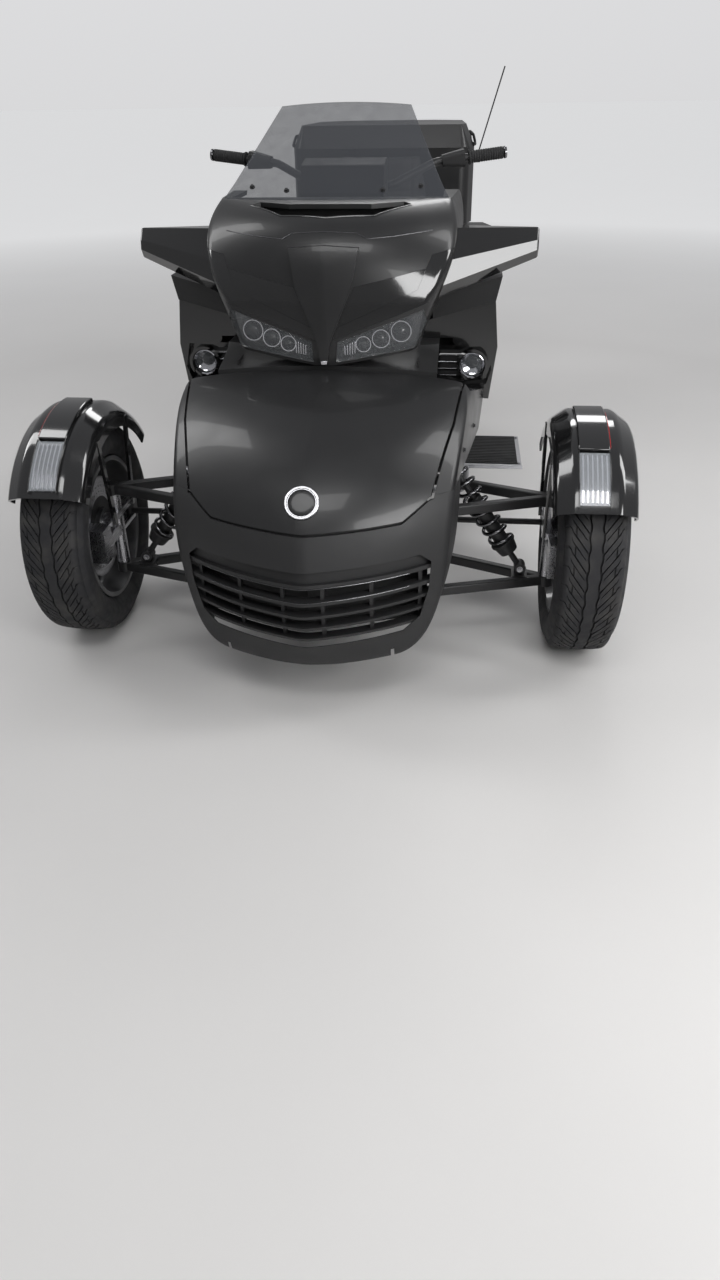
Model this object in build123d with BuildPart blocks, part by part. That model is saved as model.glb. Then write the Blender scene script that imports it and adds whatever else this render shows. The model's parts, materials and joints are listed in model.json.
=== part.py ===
from build123d import *

from math import cos, hypot, radians, sin
import os

# Three-wheeled touring roadster: two steered front wheels, one driven rear wheel, ridden astride.
# Millimetres. +X is the rider's left, -Y is forward, +Z is up, and the ground is Z = 0.
# Places along the vehicle are given as a distance behind the front axle, through back() and at().

# Overall
OVERALL_LENGTH = 2820
NOSE_OVERHANG = 464
WHEELBASE = 1709
TRACK = 1308
FRONT_AXLE_Y = NOSE_OVERHANG - OVERALL_LENGTH / 2
WHEEL_X = TRACK / 2
PANEL_WALL = 4
LID_GAP = 6
SEAM = 0.4

# Wheels: 165/55 R15 in front, 225/50 R15 behind
FRONT_TYRE_R = 281
FRONT_TYRE_W = 165
FRONT_RIM_W = 138
REAR_TYRE_R = 303
REAR_TYRE_W = 225
REAR_RIM_W = 196
RIM_R = 190
FRONT_SPOKES = 6
REAR_SPOKES = 5
SPOKE_T = 26
HUB_CAP_R = 52
DISC_R = 135
DISC_T = 6
DISC_INBOARD = 30

# Front suspension and steering
KINGPIN_X = 575
UPPER_BALL_Z = 392
LOWER_BALL_Z = 166
ARM_LEG_W = 22
ARM_LEG_H = 26
ARM_BOSS_R = 19
ARM_BOSS_H = 28
UPPER_PIVOT_X = 246
LOWER_PIVOT_X = 240
LOWER_PIVOT_Z = 172
ARM_SPREAD = (-112, 132)
BUSH_R = 14
BUSH_L = 40
TIE_ROD_Y = 96
TIE_ROD_Z = 288
TIE_ROD_R = 8
TIE_ROD_INNER_X = 150
SHOCK_Y = 8
SHOCK_LOW = (506, 197)
SHOCK_HIGH = (272, 540)
SHOCK_BODY_R = 17
EYE_R = 15
SPRING_R = 31
SPRING_WIRE = 9
COILS = 9

# Frame
FRAME_X = 198
SPAR_R = 22
SPAR_Z = 620
LOWER_RAIL_Z = 185
CROSS_R = 14
SWING_PIVOT = (1290, 420)
SEAT_BASE_Z = 640
REAR_RAIL_X = 150
REAR_RAIL_R = 16

# Handlebar
BAR_Y = 742
BAR_Z = 1046
BAR_R = 11
GRIP_R = 16.5
GRIP_IN = (320, 812, 1111)
GRIP_OUT = (429, 829, 1123)
COLUMN_R = 24
COLUMN_LEAN = 30
COLUMN_L = 470


def back(distance):
    """Y of a point that lies the given distance behind the front axle."""
    return FRONT_AXLE_Y + distance


def at(x, distance, z):
    """A point given by its distance behind the front axle."""
    return (x, back(distance), z)


def facing_forward(distance=0.0):
    """Plane across the vehicle: x is the vehicle's X, y is Z, and it faces forward."""
    return Plane(origin=(0, back(distance), 0), x_dir=(1, 0, 0), z_dir=(0, -1, 0))


def facing_left(x=0.0):
    """Plane seen from the left: x is the distance behind the front axle, y is Z, and it faces +X."""
    return Plane(origin=(x, FRONT_AXLE_Y, 0), x_dir=(0, 1, 0), z_dir=(1, 0, 0))


def along_x(point):
    """Plane at a point whose normal is the vehicle's X, with Y to its right and Z up."""
    return Plane(origin=point, x_dir=(0, 1, 0), z_dir=(1, 0, 0))


def along_y(point):
    """Plane at a point whose normal is the vehicle's Y."""
    return Plane(origin=point, x_dir=(1, 0, 0), z_dir=(0, 1, 0))


def polygon(plane, points):
    """Closed straight-sided face on a plane."""
    with BuildSketch(plane) as face:
        with BuildLine():
            Polyline(*points, close=True)
        make_face()
    return face.sketch


def both_sides(points):
    """Left half outline, from front to rear, completed by its mirror image."""
    return [*points, *[(-x, y) for x, y in reversed(points) if x > 0]]


def rounded(plane, points, radius):
    """Closed face on a plane with all its corners rounded."""
    with BuildSketch(plane) as face:
        with BuildLine():
            Polyline(*points, close=True)
        make_face()
        fillet(face.vertices(), radius)
    return face.sketch


def prism(plane, points, amount, both=False):
    """Straight-sided block from an outline on a plane."""
    with BuildPart() as block:
        extrude(polygon(plane, points), amount=amount, both=both)
    return block.part


def pair(part):
    """The part together with its mirror image on the other side of the vehicle."""
    with BuildPart() as two:
        add(part)
        mirror(about=Plane.YZ)
    return two.part


def other_side(part):
    """Mirror image of the part on the other side of the vehicle."""
    with BuildPart() as image:
        mirror(part, about=Plane.YZ)
    return image.part


def tube(points, radius, bends=0):
    """Round bar along straight runs, which tangent arcs join where bends are given."""
    with BuildPart() as run:
        with BuildLine() as path:
            if bends:
                FilletPolyline(*points, radius=bends)
            else:
                Polyline(*points)
        with BuildSketch(Plane(origin=path.line @ 0, z_dir=path.line % 0)):
            Circle(radius)
        sweep()
    return run.part


def rod(start, end, radius):
    """Straight round bar between two points."""
    axis = Vector(*end) - Vector(*start)
    with BuildPart() as bar:
        with BuildSketch(Plane(origin=start, z_dir=axis.normalized())):
            Circle(radius)
        extrude(amount=axis.length)
    return bar.part


def box_bar(start, end, width, height):
    """Straight bar of rounded rectangular section, its width level, between two points."""
    axis = Vector(*end) - Vector(*start)
    level = axis.cross(Vector(0, 0, 1)).normalized()
    with BuildPart() as bar:
        with BuildSketch(Plane(origin=start, x_dir=level, z_dir=axis.normalized())):
            RectangleRounded(width, height, width / 5)
        extrude(amount=axis.length)
    return bar.part


# How a block stands on its place
RISING = (Align.CENTER, Align.CENTER, Align.MIN)
HANGING = (Align.CENTER, Align.CENTER, Align.MAX)
OUTWARD = (Align.MIN, Align.CENTER, Align.CENTER)
REARWARD = (Align.CENTER, Align.MIN, Align.CENTER)
REARWARD_RISING = (Align.CENTER, Align.MIN, Align.MIN)

pieces = []


def keep(name, part):
    """Labels a finished piece and lists it for export."""
    part.label = name
    pieces.append(part)


# Body sections, each the plan outline at one height. Columns: height, front centre, outer end of the
# front arc (x, distance), rear corner (x, distance), height of the front arc over its chord
NOSE_SECTIONS = [
    (128, -408, (212, -340), (262, -140), 14),
    (200, -450, (282, -320), (312, -100), 18),
    (330, -470.3, (312, -302), (342, -60), 22),
    (465, -426, (322, -280), (374, 120), 24),
    (560, -346, (334, -190), (390, 240), 30),
    (640, -210, (346, -60), (392, 260), 34),
    (700, 20, (300, 110), (340, 270), 18),
    (730, 130, (285, 190), (320, 290), 10),
]
FAIRING_SECTIONS = [
    (706, 32, (205, 84), (215, 300), 8),
    (775, 30, (232, 84), (250, 330), 8),
    (852, 36, (262, 90), (292, 400), 8),
    (960, 60, (303, 158), (320, 470), 20),
    (1026, 118, (300, 240), (316, 500), 26),
    (1054, 240, (290, 300), (304, 520), 8),
]
REAR_RUN_ON = 0.15
NOSE_ROUND = 80
CORNER_ROUND = 42


def arc_middle(p, q, height):
    """Middle of the arc from p to q that stands over its chord, on the right of the line."""
    dx, dy = q[0] - p[0], q[1] - p[1]
    length = hypot(dx, dy)
    return ((p[0] + q[0]) / 2 + dy / length * height, (p[1] + q[1]) / 2 - dx / length * height)


def plan_outline(section, inset=0.0):
    """Closed plan outline of a body section; an inset one is run on past the open rear."""
    _, front, (side_x, side), (rear_x, rear), height = section
    run_on = REAR_RUN_ON if inset else 0
    nose = (0, back(front + inset))
    left = (side_x - inset, back(side + inset * 0.4))
    right = (-left[0], left[1])
    tail = (rear_x - inset + (rear_x - side_x) * run_on, back(rear + (rear - side) * run_on))
    with BuildLine() as outline:
        ThreePointArc(right, arc_middle(right, nose, height), nose)
        ThreePointArc(nose, arc_middle(nose, left, height), left)
        Polyline(left, tail, (-tail[0], tail[1]), right)
    return outline.line


def body_form(sections, inset=0.0, drop=0.0, lower_top=0.0):
    """Solid form inside the plan sections; drop lowers all of it, lower_top mostly its top."""
    low = sections[0][0]
    high = sections[-1][0]
    with BuildPart() as form:
        for section in sections:
            height = section[0] - drop - lower_top * (section[0] - low) / (high - low)
            with BuildSketch(Plane.XY.offset(height)) as plan:
                add(plan_outline(section, inset))
                make_face()
                fillet(plan.vertices().sort_by(Axis.Y)[1:3], CORNER_ROUND - inset)
                fillet(plan.vertices().sort_by(Axis.Y)[0], NOSE_ROUND - inset)
        loft()
    return form.part


# Nose shell, cut into hood, side panels and fascia where the real panels meet
HOOD_SEAM = [(0, 466), (214, 471), (272, 506), (440, 512)]
SHOULDER_Z = 511
FASCIA_REAR = -150
HOOD_REAR = 30
HOOD_SIDE = [(266, -600), (274, -300), (318, -120), (338, HOOD_REAR)]
HOOD_HINGE = (24, 682)
HOOD_HINGE_X = 90
HOOD_PIN_R = 4
HOOD_LUG_W = 12
REAR_TRIM = [(HOOD_REAR, 655), (400, 565), (400, 900), (HOOD_REAR, 900)]
GRILLE_TOP = 392
GRILLE_LOW = 200
GRILLE_HALF_W = 280
POD_FRONT = 250
SLAT_REACH = 420
LIP_NOTCH_X = 196
LIP_NOTCH = (8, 30)

nose_outer = body_form(NOSE_SECTIONS)
nose_inner = body_form(NOSE_SECTIONS, PANEL_WALL, drop=PANEL_WALL)
with BuildPart() as nose_shell:
    add(nose_outer)
    add(nose_inner, mode=Mode.SUBTRACT)


def hood_block(margin):
    """Everything inside and above the hood's seam, grown by margin."""
    side = [(x + margin, back(y)) for x, y in HOOD_SIDE[:-1]]
    rear = (HOOD_SIDE[-1][0] + margin, back(HOOD_REAR + margin))
    seam = [(x, z - margin) for x, z in HOOD_SEAM]
    top = (HOOD_SEAM[-1][0], 1000)
    with BuildPart() as block:
        add(prism(Plane.XY.offset(400), both_sides([*side, rear]), 600))
        add(prism(facing_forward(-700), both_sides([*seam, top]), -900), mode=Mode.INTERSECT)
    return block.part


with BuildPart() as hinge_lugs:
    for side in (-1, 1):
        with Locations(along_x(at(side * HOOD_HINGE_X, *HOOD_HINGE))):
            Cylinder(HOOD_PIN_R + 5, HOOD_LUG_W)
        with Locations(at(side * HOOD_HINGE_X, HOOD_HINGE[0] - 9, HOOD_HINGE[1] - 5)):
            Box(HOOD_LUG_W, 18, 60, align=RISING)
        with Locations(along_x(at(side * HOOD_HINGE_X, *HOOD_HINGE))):
            Cylinder(HOOD_PIN_R + SEAM, HOOD_LUG_W + 2, mode=Mode.SUBTRACT)
    add(nose_outer, mode=Mode.INTERSECT)

with BuildPart() as hood:
    add(nose_outer)
    add(hood_block(-LID_GAP / 2), mode=Mode.INTERSECT)
    add(nose_inner, mode=Mode.SUBTRACT)
    add(hinge_lugs.part)
keep("hood", hood.part)

with BuildPart() as nose_side_panel:
    add(nose_shell.part)
    add(hood_block(LID_GAP / 2), mode=Mode.SUBTRACT)
    split(bisect_by=Plane.XY.offset(SHOULDER_Z), keep=Keep.TOP)
    split(bisect_by=Plane.YZ, keep=Keep.TOP)
    add(prism(facing_left(), REAR_TRIM, 1000), mode=Mode.SUBTRACT)
    with Locations(at(0, POD_FRONT - SEAM, 0)):
        Box(1000, 1000, 2000, align=REARWARD, mode=Mode.SUBTRACT)
keep("nose_side_panels", pair(nose_side_panel.part.solids().sort_by(SortBy.VOLUME)[-1]))

# Cowl between the side panels, behind the hood and under the fairing
COWL_FRONT = 52
COWL_REAR = 262
COWL_HALF_W = 272
COWL_LOW = 640
with BuildPart() as cowl_front:
    with Locations(at(0, COWL_FRONT, COWL_LOW)):
        Box(2 * COWL_HALF_W, PANEL_WALL, 200, align=REARWARD_RISING)
    add(nose_outer, mode=Mode.INTERSECT)
with BuildPart() as cowl:
    add(nose_shell.part)
    with Locations(at(0, COWL_FRONT, REAR_TRIM[0][1])):
        cowl_size = (2 * COWL_HALF_W, COWL_REAR - COWL_FRONT, 200)
        Box(*cowl_size, align=REARWARD_RISING, mode=Mode.INTERSECT)
    add(cowl_front.part)
keep("cowl", cowl.part)

grille_outline = [
    (0, GRILLE_TOP),
    (GRILLE_HALF_W - 24, GRILLE_TOP + 3),
    (GRILLE_HALF_W, GRILLE_TOP - 20),
    (GRILLE_HALF_W - 4, GRILLE_LOW + 100),
    (GRILLE_HALF_W - 22, GRILLE_LOW + 34),
    (GRILLE_HALF_W - 60, GRILLE_LOW + 6),
    (0, GRILLE_LOW),
]
with BuildPart() as front_fascia:
    add(nose_shell.part)
    add(hood_block(LID_GAP / 2), mode=Mode.SUBTRACT)
    split(bisect_by=Plane.XY.offset(SHOULDER_Z - SEAM), keep=Keep.BOTTOM)
    with Locations(at(0, FASCIA_REAR, 0)):
        Box(1000, 1000, 1400, align=REARWARD, mode=Mode.SUBTRACT)
    add(prism(facing_forward(-600), both_sides(grille_outline), -SLAT_REACH), mode=Mode.SUBTRACT)
    for side in (-1, 1):
        with Locations(at(side * LIP_NOTCH_X, -600, NOSE_SECTIONS[0][0])):
            Box(LIP_NOTCH[0], SLAT_REACH, 2 * LIP_NOTCH[1], align=REARWARD, mode=Mode.SUBTRACT)
keep("front_fascia", front_fascia.part)

# Grille: slats that follow the nose, carried by posts and a blade that are set back behind their front edges.
# Columns of the slats: underside, thickness
SLATS = [(353, 10), (313, 10), (281, 7), (250, 7), (219, 7)]
SLAT_DEPTH = 30
GRILLE_POSTS = [45, 150, 256]
POST_W = 8
POST_SETBACK = 12
BLADE = (SLATS[0][0], 34)


def moved_back(part, distance):
    """Copy of a part, moved towards the rear."""
    return part.moved(Location((0, distance, 0)))


with BuildPart() as grille_slats:
    for low, thickness in SLATS:
        with Locations(at(0, -600, low)):
            Box(2 * GRILLE_HALF_W + 20, SLAT_REACH, thickness, align=REARWARD_RISING)
    add(moved_back(nose_inner, SEAM), mode=Mode.INTERSECT)
with BuildPart() as grille_posts:
    for x in [*GRILLE_POSTS, *[-x for x in GRILLE_POSTS]]:
        with Locations(at(x, -600, SLATS[-1][0])):
            Box(POST_W, SLAT_REACH, BLADE[0] - SLATS[-1][0], align=REARWARD_RISING)
    with Locations(at(0, -600, BLADE[0])):
        Box(2 * GRILLE_HALF_W + 20, SLAT_REACH, BLADE[1], align=REARWARD_RISING)
    add(moved_back(nose_inner, POST_SETBACK), mode=Mode.INTERSECT)
with BuildPart() as grille:
    add(grille_slats.part)
    add(grille_posts.part)
    add(moved_back(nose_inner, SLAT_DEPTH), mode=Mode.SUBTRACT)
keep("grille", grille.part)

# Storage tub under the hood, open at the top
TUB_TOP = 500
TUB_FLOOR = 300
TUB_PLAN = [(0, -345), (110, -300), (160, -230), (160, -30)]
tub_outline = both_sides([(x, back(y)) for x, y in TUB_PLAN])
with BuildPart() as trunk_tub:
    extrude(polygon(Plane.XY.offset(TUB_FLOOR), tub_outline), amount=TUB_TOP - TUB_FLOOR)
    offset(amount=-PANEL_WALL, openings=trunk_tub.faces().sort_by(Axis.Z)[-1])
keep("trunk_tub", trunk_tub.part)

# Upper fairing: shell under a raised wedge, with openings for lights, gloss panels and the air slot
HEADLIGHT = [(26, 718), (30, 767), (236, 834), (244, 806), (217, 744)]
BAND = [(20, 771), (32, 800), (220, 878), (250, 950), (302, 959), (250, 850)]
INSERT = [(32, 800), (71, 889), (238, 922), (220, 878)]
WEDGE = [(0, 717), (8, 717), (17, 773), (66, 888), (82, 972), (0, 978)]
WEDGE_PROUD = 13
UNDERSIDE = [(26, 712), (222, 739), (440, 756), (440, 600)]
HEADLIGHT_REAR = 116
BAND_REAR = 240
DECK_REAR = 330
DECK_WALL = 10
COCKPIT_HALF_W = 268
AIR_SLOT = [(0, 128), (110, 150), (196, 226), (176, 240), (100, 206), (0, 198)]

fairing_outer = body_form(FAIRING_SECTIONS)
fairing_inner = body_form(FAIRING_SECTIONS, PANEL_WALL, lower_top=DECK_WALL)
under_block = prism(facing_forward(-200), both_sides(UNDERSIDE), -1200)
with BuildPart() as fairing_shell:
    add(fairing_outer)
    add(fairing_inner, mode=Mode.SUBTRACT)
    with Locations(at(0, DECK_REAR, FAIRING_SECTIONS[-1][0])):
        Box(2 * COCKPIT_HALF_W, 600, 6 * DECK_WALL, align=REARWARD, mode=Mode.SUBTRACT)
    add(under_block, mode=Mode.SUBTRACT)
with BuildPart() as wedge:
    add(moved_back(fairing_outer, -WEDGE_PROUD))
    add(prism(facing_forward(-200), both_sides(WEDGE), -400), mode=Mode.INTERSECT)
    add(fairing_inner, mode=Mode.SUBTRACT)


def opening_block(outline, rear, margin=0.0):
    """Block behind a front-view outline and its mirror image, grown by margin, as far as rear."""
    with BuildPart() as block:
        with BuildSketch(facing_forward(rear + margin)):
            with BuildLine():
                Polyline(*outline, close=True)
            make_face()
            if margin:
                offset(amount=margin, kind=Kind.INTERSECTION)
        extrude(amount=rear + 60)
        mirror(about=Plane.YZ)
    return block.part


with BuildPart() as fairing:
    add(fairing_shell.part)
    add(wedge.part)
    for outline, rear in ((HEADLIGHT, HEADLIGHT_REAR), (BAND, BAND_REAR), (INSERT, BAND_REAR)):
        add(opening_block(outline, rear, SEAM), mode=Mode.SUBTRACT)
    slot_outline = both_sides([(x, back(y)) for x, y in AIR_SLOT])
    slot_low = FAIRING_SECTIONS[-2][0] - 3 * DECK_WALL
    add(prism(Plane.XY.offset(slot_low), slot_outline, 100), mode=Mode.SUBTRACT)
keep("fairing", fairing.part)

with BuildPart() as fairing_bands:
    add(fairing_shell.part)
    add(opening_block(BAND, BAND_REAR), mode=Mode.INTERSECT)
with BuildPart() as fairing_inserts:
    add(fairing_shell.part)
    add(opening_block(INSERT, BAND_REAR), mode=Mode.INTERSECT)
    add(opening_block(BAND, BAND_REAR, SEAM), mode=Mode.SUBTRACT)
with BuildPart() as gloss_panels:
    add(fairing_bands.part)
    add(fairing_inserts.part)
keep("fairing_bands", gloss_panels.part)

with BuildPart() as headlights:
    add(fairing_outer)
    add(opening_block(HEADLIGHT, HEADLIGHT_REAR), mode=Mode.INTERSECT)
    add(nose_outer, mode=Mode.SUBTRACT)
keep("headlights", headlights.part)

# Windscreen: a sheet curved across the vehicle that leans back
SCREEN_FOOT = (262, 1056)
SCREEN_TOP = (582, 1257)
SCREEN_T = 4
SCREEN_CROWN = 30
SCREEN_CROWN_X = 306
SCREEN_RUN_DOWN = 60
SCREEN_SIDE = [(284, -SCREEN_RUN_DOWN), (297, 0), (262, 90), (214, 240)]
SCREEN_TOP_HALF = 172
screen_run = Vector(0, SCREEN_TOP[0] - SCREEN_FOOT[0], SCREEN_TOP[1] - SCREEN_FOOT[1])
screen_up = screen_run.normalized()
screen_section = Plane(origin=at(0, *SCREEN_FOOT), x_dir=(1, 0, 0), z_dir=screen_up)
screen_face = Plane(origin=at(0, *SCREEN_FOOT), x_dir=(1, 0, 0), z_dir=Vector(1, 0, 0).cross(screen_up))
screen_outline = both_sides([*SCREEN_SIDE, (SCREEN_TOP_HALF, screen_run.length)])
with BuildPart() as windscreen:
    with BuildSketch(screen_section) as screen_sheet:
        with BuildLine():
            edge = SCREEN_CROWN_X
            ThreePointArc((-edge, SCREEN_CROWN), (0, 0), (edge, SCREEN_CROWN))
            Line((edge, SCREEN_CROWN), (edge, SCREEN_CROWN + SCREEN_T))
            ThreePointArc((edge, SCREEN_CROWN + SCREEN_T), (0, SCREEN_T), (-edge, SCREEN_CROWN + SCREEN_T))
            Line((-edge, SCREEN_CROWN + SCREEN_T), (-edge, SCREEN_CROWN))
        make_face()
    extrude(amount=screen_run.length)
    extrude(screen_sheet.sketch, amount=-SCREEN_RUN_DOWN)
    add(prism(screen_face, screen_outline, 200, both=True), mode=Mode.INTERSECT)
    add(fairing_outer, mode=Mode.SUBTRACT)
keep("windscreen", windscreen.part.solids().sort_by(SortBy.VOLUME)[-1])

# Pods with the fog lamps beside the headlights, each with a finned pocket, under a shoulder panel
SIDE_PANEL_T = 8
side_panel_x = FRAME_X + SPAR_R + SEAM
pod_in_x = side_panel_x + SIDE_PANEL_T + SEAM
POD_FACE = [(pod_in_x, 600), (pod_in_x, 770), (253, 778), (411, 822), (422, 709), (406, 573), (330, 578)]
POD_DEPTH = 230
POD_POCKET = [(266, 640), (262, 704), (396, 710), (410, 650), (398, 612), (330, 606)]
POCKET_DEPTH = 28
FOG_LAMP = (359, 659)
FOG_LAMP_R = 34
FOG_LAMP_DEPTH = 34
LAMP_RING = 8
POD_FINS = [632, 650, 668, 686]
FIN_T = 5
FIN_SETBACK = 5
SHOULDER_FACE = [(253, 778 + SEAM), (252, 834), (424, 882), (411, 822 + SEAM)]
with BuildPart() as fog_pod:
    extrude(polygon(facing_forward(POD_FRONT), POD_FACE), amount=-POD_DEPTH)
    extrude(polygon(facing_forward(POD_FRONT), POD_POCKET), amount=-POCKET_DEPTH, mode=Mode.SUBTRACT)
    with BuildSketch(facing_forward(POD_FRONT + FIN_SETBACK)):
        for z in POD_FINS:
            with Locations(((POD_POCKET[1][0] + FOG_LAMP[0]) / 2, z)):
                Rectangle(FOG_LAMP[0] - POD_POCKET[1][0] + 8, FIN_T)
    extrude(amount=-POCKET_DEPTH)
    with BuildSketch(facing_forward(POD_FRONT)):
        with Locations(FOG_LAMP):
            Circle(FOG_LAMP_R + LAMP_RING)
    extrude(amount=-POCKET_DEPTH - LAMP_RING)
    with BuildSketch(facing_forward(POD_FRONT)):
        with Locations(FOG_LAMP):
            Circle(FOG_LAMP_R + SEAM)
    extrude(amount=-FOG_LAMP_DEPTH, mode=Mode.SUBTRACT)
    add(nose_outer, mode=Mode.SUBTRACT)
    add(fairing_outer, mode=Mode.SUBTRACT)
keep("fog_pods", pair(fog_pod.part.solids().sort_by(SortBy.VOLUME)[-1]))

with BuildPart() as pod_shoulder:
    extrude(polygon(facing_forward(POD_FRONT - 6), SHOULDER_FACE), amount=-POD_DEPTH)
    add(fairing_outer, mode=Mode.SUBTRACT)
keep("pod_shoulders", pair(pod_shoulder.part.solids().sort_by(SortBy.VOLUME)[-1]))

with BuildPart() as fog_lamp:
    with BuildSketch(facing_forward(POD_FRONT + 4)):
        with Locations(FOG_LAMP):
            Circle(FOG_LAMP_R)
    extrude(amount=-(FOG_LAMP_DEPTH - 4 - SEAM))
keep("fog_lamps", pair(fog_lamp.part))

# Mirrors: wings on the fairing's sides with three facets in front, and the glass let in behind
MIRROR_ROOT_X = 240
MIRROR_TIP_X = 510
MIRROR_ROOT = [(176, 832), (150, 862), (162, 920), (200, 998), (330, 992), (318, 860)]
MIRROR_TIP = [(300, 918), (287, 938), (292, 960), (312, 986), (392, 982), (384, 930)]
MIRROR_REAR = 318
MIRROR_GLASS = [(350, 890), (350, 972), (490, 972), (490, 938)]
with BuildPart() as mirror_wing:
    for x, outline in ((MIRROR_ROOT_X, MIRROR_ROOT), (MIRROR_TIP_X, MIRROR_TIP)):
        add(polygon(facing_left(x), outline))
    loft(ruled=True)
    fillet(mirror_wing.faces().sort_by(Axis.X)[-1].edges(), 7)
    with Locations(at(0, MIRROR_REAR, 900)):
        Box(1200, 400, 600, align=REARWARD, mode=Mode.SUBTRACT)
    with BuildSketch(facing_forward(MIRROR_REAR)):
        with BuildLine():
            Polyline(*MIRROR_GLASS, close=True)
        make_face()
        offset(amount=SEAM, kind=Kind.INTERSECTION)
    extrude(amount=5, mode=Mode.SUBTRACT)
    add(fairing_outer, mode=Mode.SUBTRACT)
keep("mirrors", pair(mirror_wing.part.solids().sort_by(SortBy.VOLUME)[-1]))
keep("mirror_glasses", pair(prism(facing_forward(MIRROR_REAR), MIRROR_GLASS, 5 - SEAM)))

# Tank cover, instruments, seats and backrest along the middle
column_axis = Vector(0, -sin(radians(COLUMN_LEAN)), -cos(radians(COLUMN_LEAN)))
column_plane = Plane(origin=at(0, BAR_Y, BAR_Z), x_dir=(1, 0, 0), z_dir=column_axis)
TANK_LOW = SPAR_Z + SPAR_R + SEAM
TANK_SIDE = [(430, TANK_LOW), (440, 950), (600, 930), (800, 850), (980, 712), (996, TANK_LOW)]
TANK_HALF = [(205, 600), (205, 700), (158, 860), (110, 985)]
TANK_ROUND = 30
with BuildPart() as tank_cover:
    extrude(rounded(facing_left(), TANK_SIDE, TANK_ROUND), amount=300, both=True)
    extrude(rounded(facing_forward(0), both_sides(TANK_HALF), TANK_ROUND), amount=-1200, mode=Mode.INTERSECT)
    with Locations(column_plane):
        Cylinder(COLUMN_R + 8, COLUMN_L + 100, align=RISING, mode=Mode.SUBTRACT)
keep("tank_cover", tank_cover.part)

# Instrument panel behind the windscreen
DASH_SIDE = [(440, 1052), (470, 1116), (560, 1130), (600, 1040), (560, 900), (470, 900)]
with BuildPart() as instrument_panel:
    extrude(rounded(facing_left(), DASH_SIDE, 12), amount=110, both=True)
    add(tank_cover.part, mode=Mode.SUBTRACT)
keep("instrument_panel", instrument_panel.part)

# Seats. Columns: half width, top line from the front to the rear
SEATS = [
    (175, [(1000, 716), (1060, 690), (1180, 675), (1280, 700), (1332, 776)]),
    (160, [(1340, 780), (1400, 806), (1600, 800), (1632, 780)]),
]
with BuildPart() as seats:
    for half, top_line in SEATS:
        outline = [(top_line[0][0], SEAT_BASE_Z), *top_line, (top_line[-1][0], SEAT_BASE_Z)]
        extrude(rounded(facing_left(), outline, 12), amount=half, both=True)
keep("seats", seats.part)

CASE_FRONT = 1700
BACKREST_SIDE = [(1636, 826), (1650, 1078), (CASE_FRONT - SEAM, 1078), (CASE_FRONT - SEAM, 836)]
BACKREST_HALF_W = 190
with BuildPart() as backrest:
    extrude(rounded(facing_left(), BACKREST_SIDE, 14), amount=BACKREST_HALF_W, both=True)
keep("backrest", backrest.part)

# Side panels, hung on the outside of the spars
SIDE_PANEL = [(400, 540), (430, 700), (900, 660), (1420, 636), (1420, 540), (1000, 470), (640, 520)]
with BuildPart() as side_panel:
    extrude(rounded(facing_left(side_panel_x), SIDE_PANEL, 24), amount=SIDE_PANEL_T)
keep("side_panels", pair(side_panel.part))

# Frame sides: spar, lower rail, uprights of the front cage, pivot ears and shock towers
CAGE_FRONT = ARM_SPREAD[0]
CAGE_REAR = ARM_SPREAD[1]
RACK_Z = 830
STAY_R = 12
TUB_BAR_R = 11
TOWER_Z = SHOCK_HIGH[1] + EYE_R + SEAM + STAY_R
EAR = (30, 30)
spar_path = [
    at(FRAME_X, CAGE_FRONT - 20, UPPER_BALL_Z),
    at(FRAME_X, CAGE_REAR + 10, UPPER_BALL_Z),
    at(FRAME_X, 400, SPAR_Z),
    at(FRAME_X, 960, SPAR_Z),
    at(FRAME_X, SWING_PIVOT[0] + 10, SWING_PIVOT[1] - 10),
]
rail_path = [
    at(FRAME_X, CAGE_FRONT - 20, LOWER_RAIL_Z),
    at(FRAME_X, 1230, LOWER_RAIL_Z),
    at(FRAME_X, *SWING_PIVOT),
]


def frame_side(grow=0.0):
    """Left side of the frame, with its bars grown by a margin where other bars are coped to it."""
    with BuildPart() as side:
        add(tube(spar_path, SPAR_R + grow, 90))
        add(tube(rail_path, SPAR_R + grow, 70))
        for distance in ARM_SPREAD:
            foot = at(FRAME_X, distance, LOWER_RAIL_Z)
            add(rod(foot, at(FRAME_X, distance, UPPER_BALL_Z), CROSS_R + grow))
            for pivot_x, z in ((LOWER_PIVOT_X, LOWER_PIVOT_Z), (UPPER_PIVOT_X, UPPER_BALL_Z)):
                with Locations(at(FRAME_X, distance, z)):
                    Box(pivot_x - BUSH_R - SEAM - FRAME_X, *EAR, align=OUTWARD)
        tower_top = TOWER_Z - STAY_R - SEAM
        add(rod(at(FRAME_X, SHOCK_Y, UPPER_BALL_Z), at(FRAME_X, SHOCK_Y, tower_top), CROSS_R + grow))
    return side.part


keep("frame_sides", pair(frame_side()))

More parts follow.
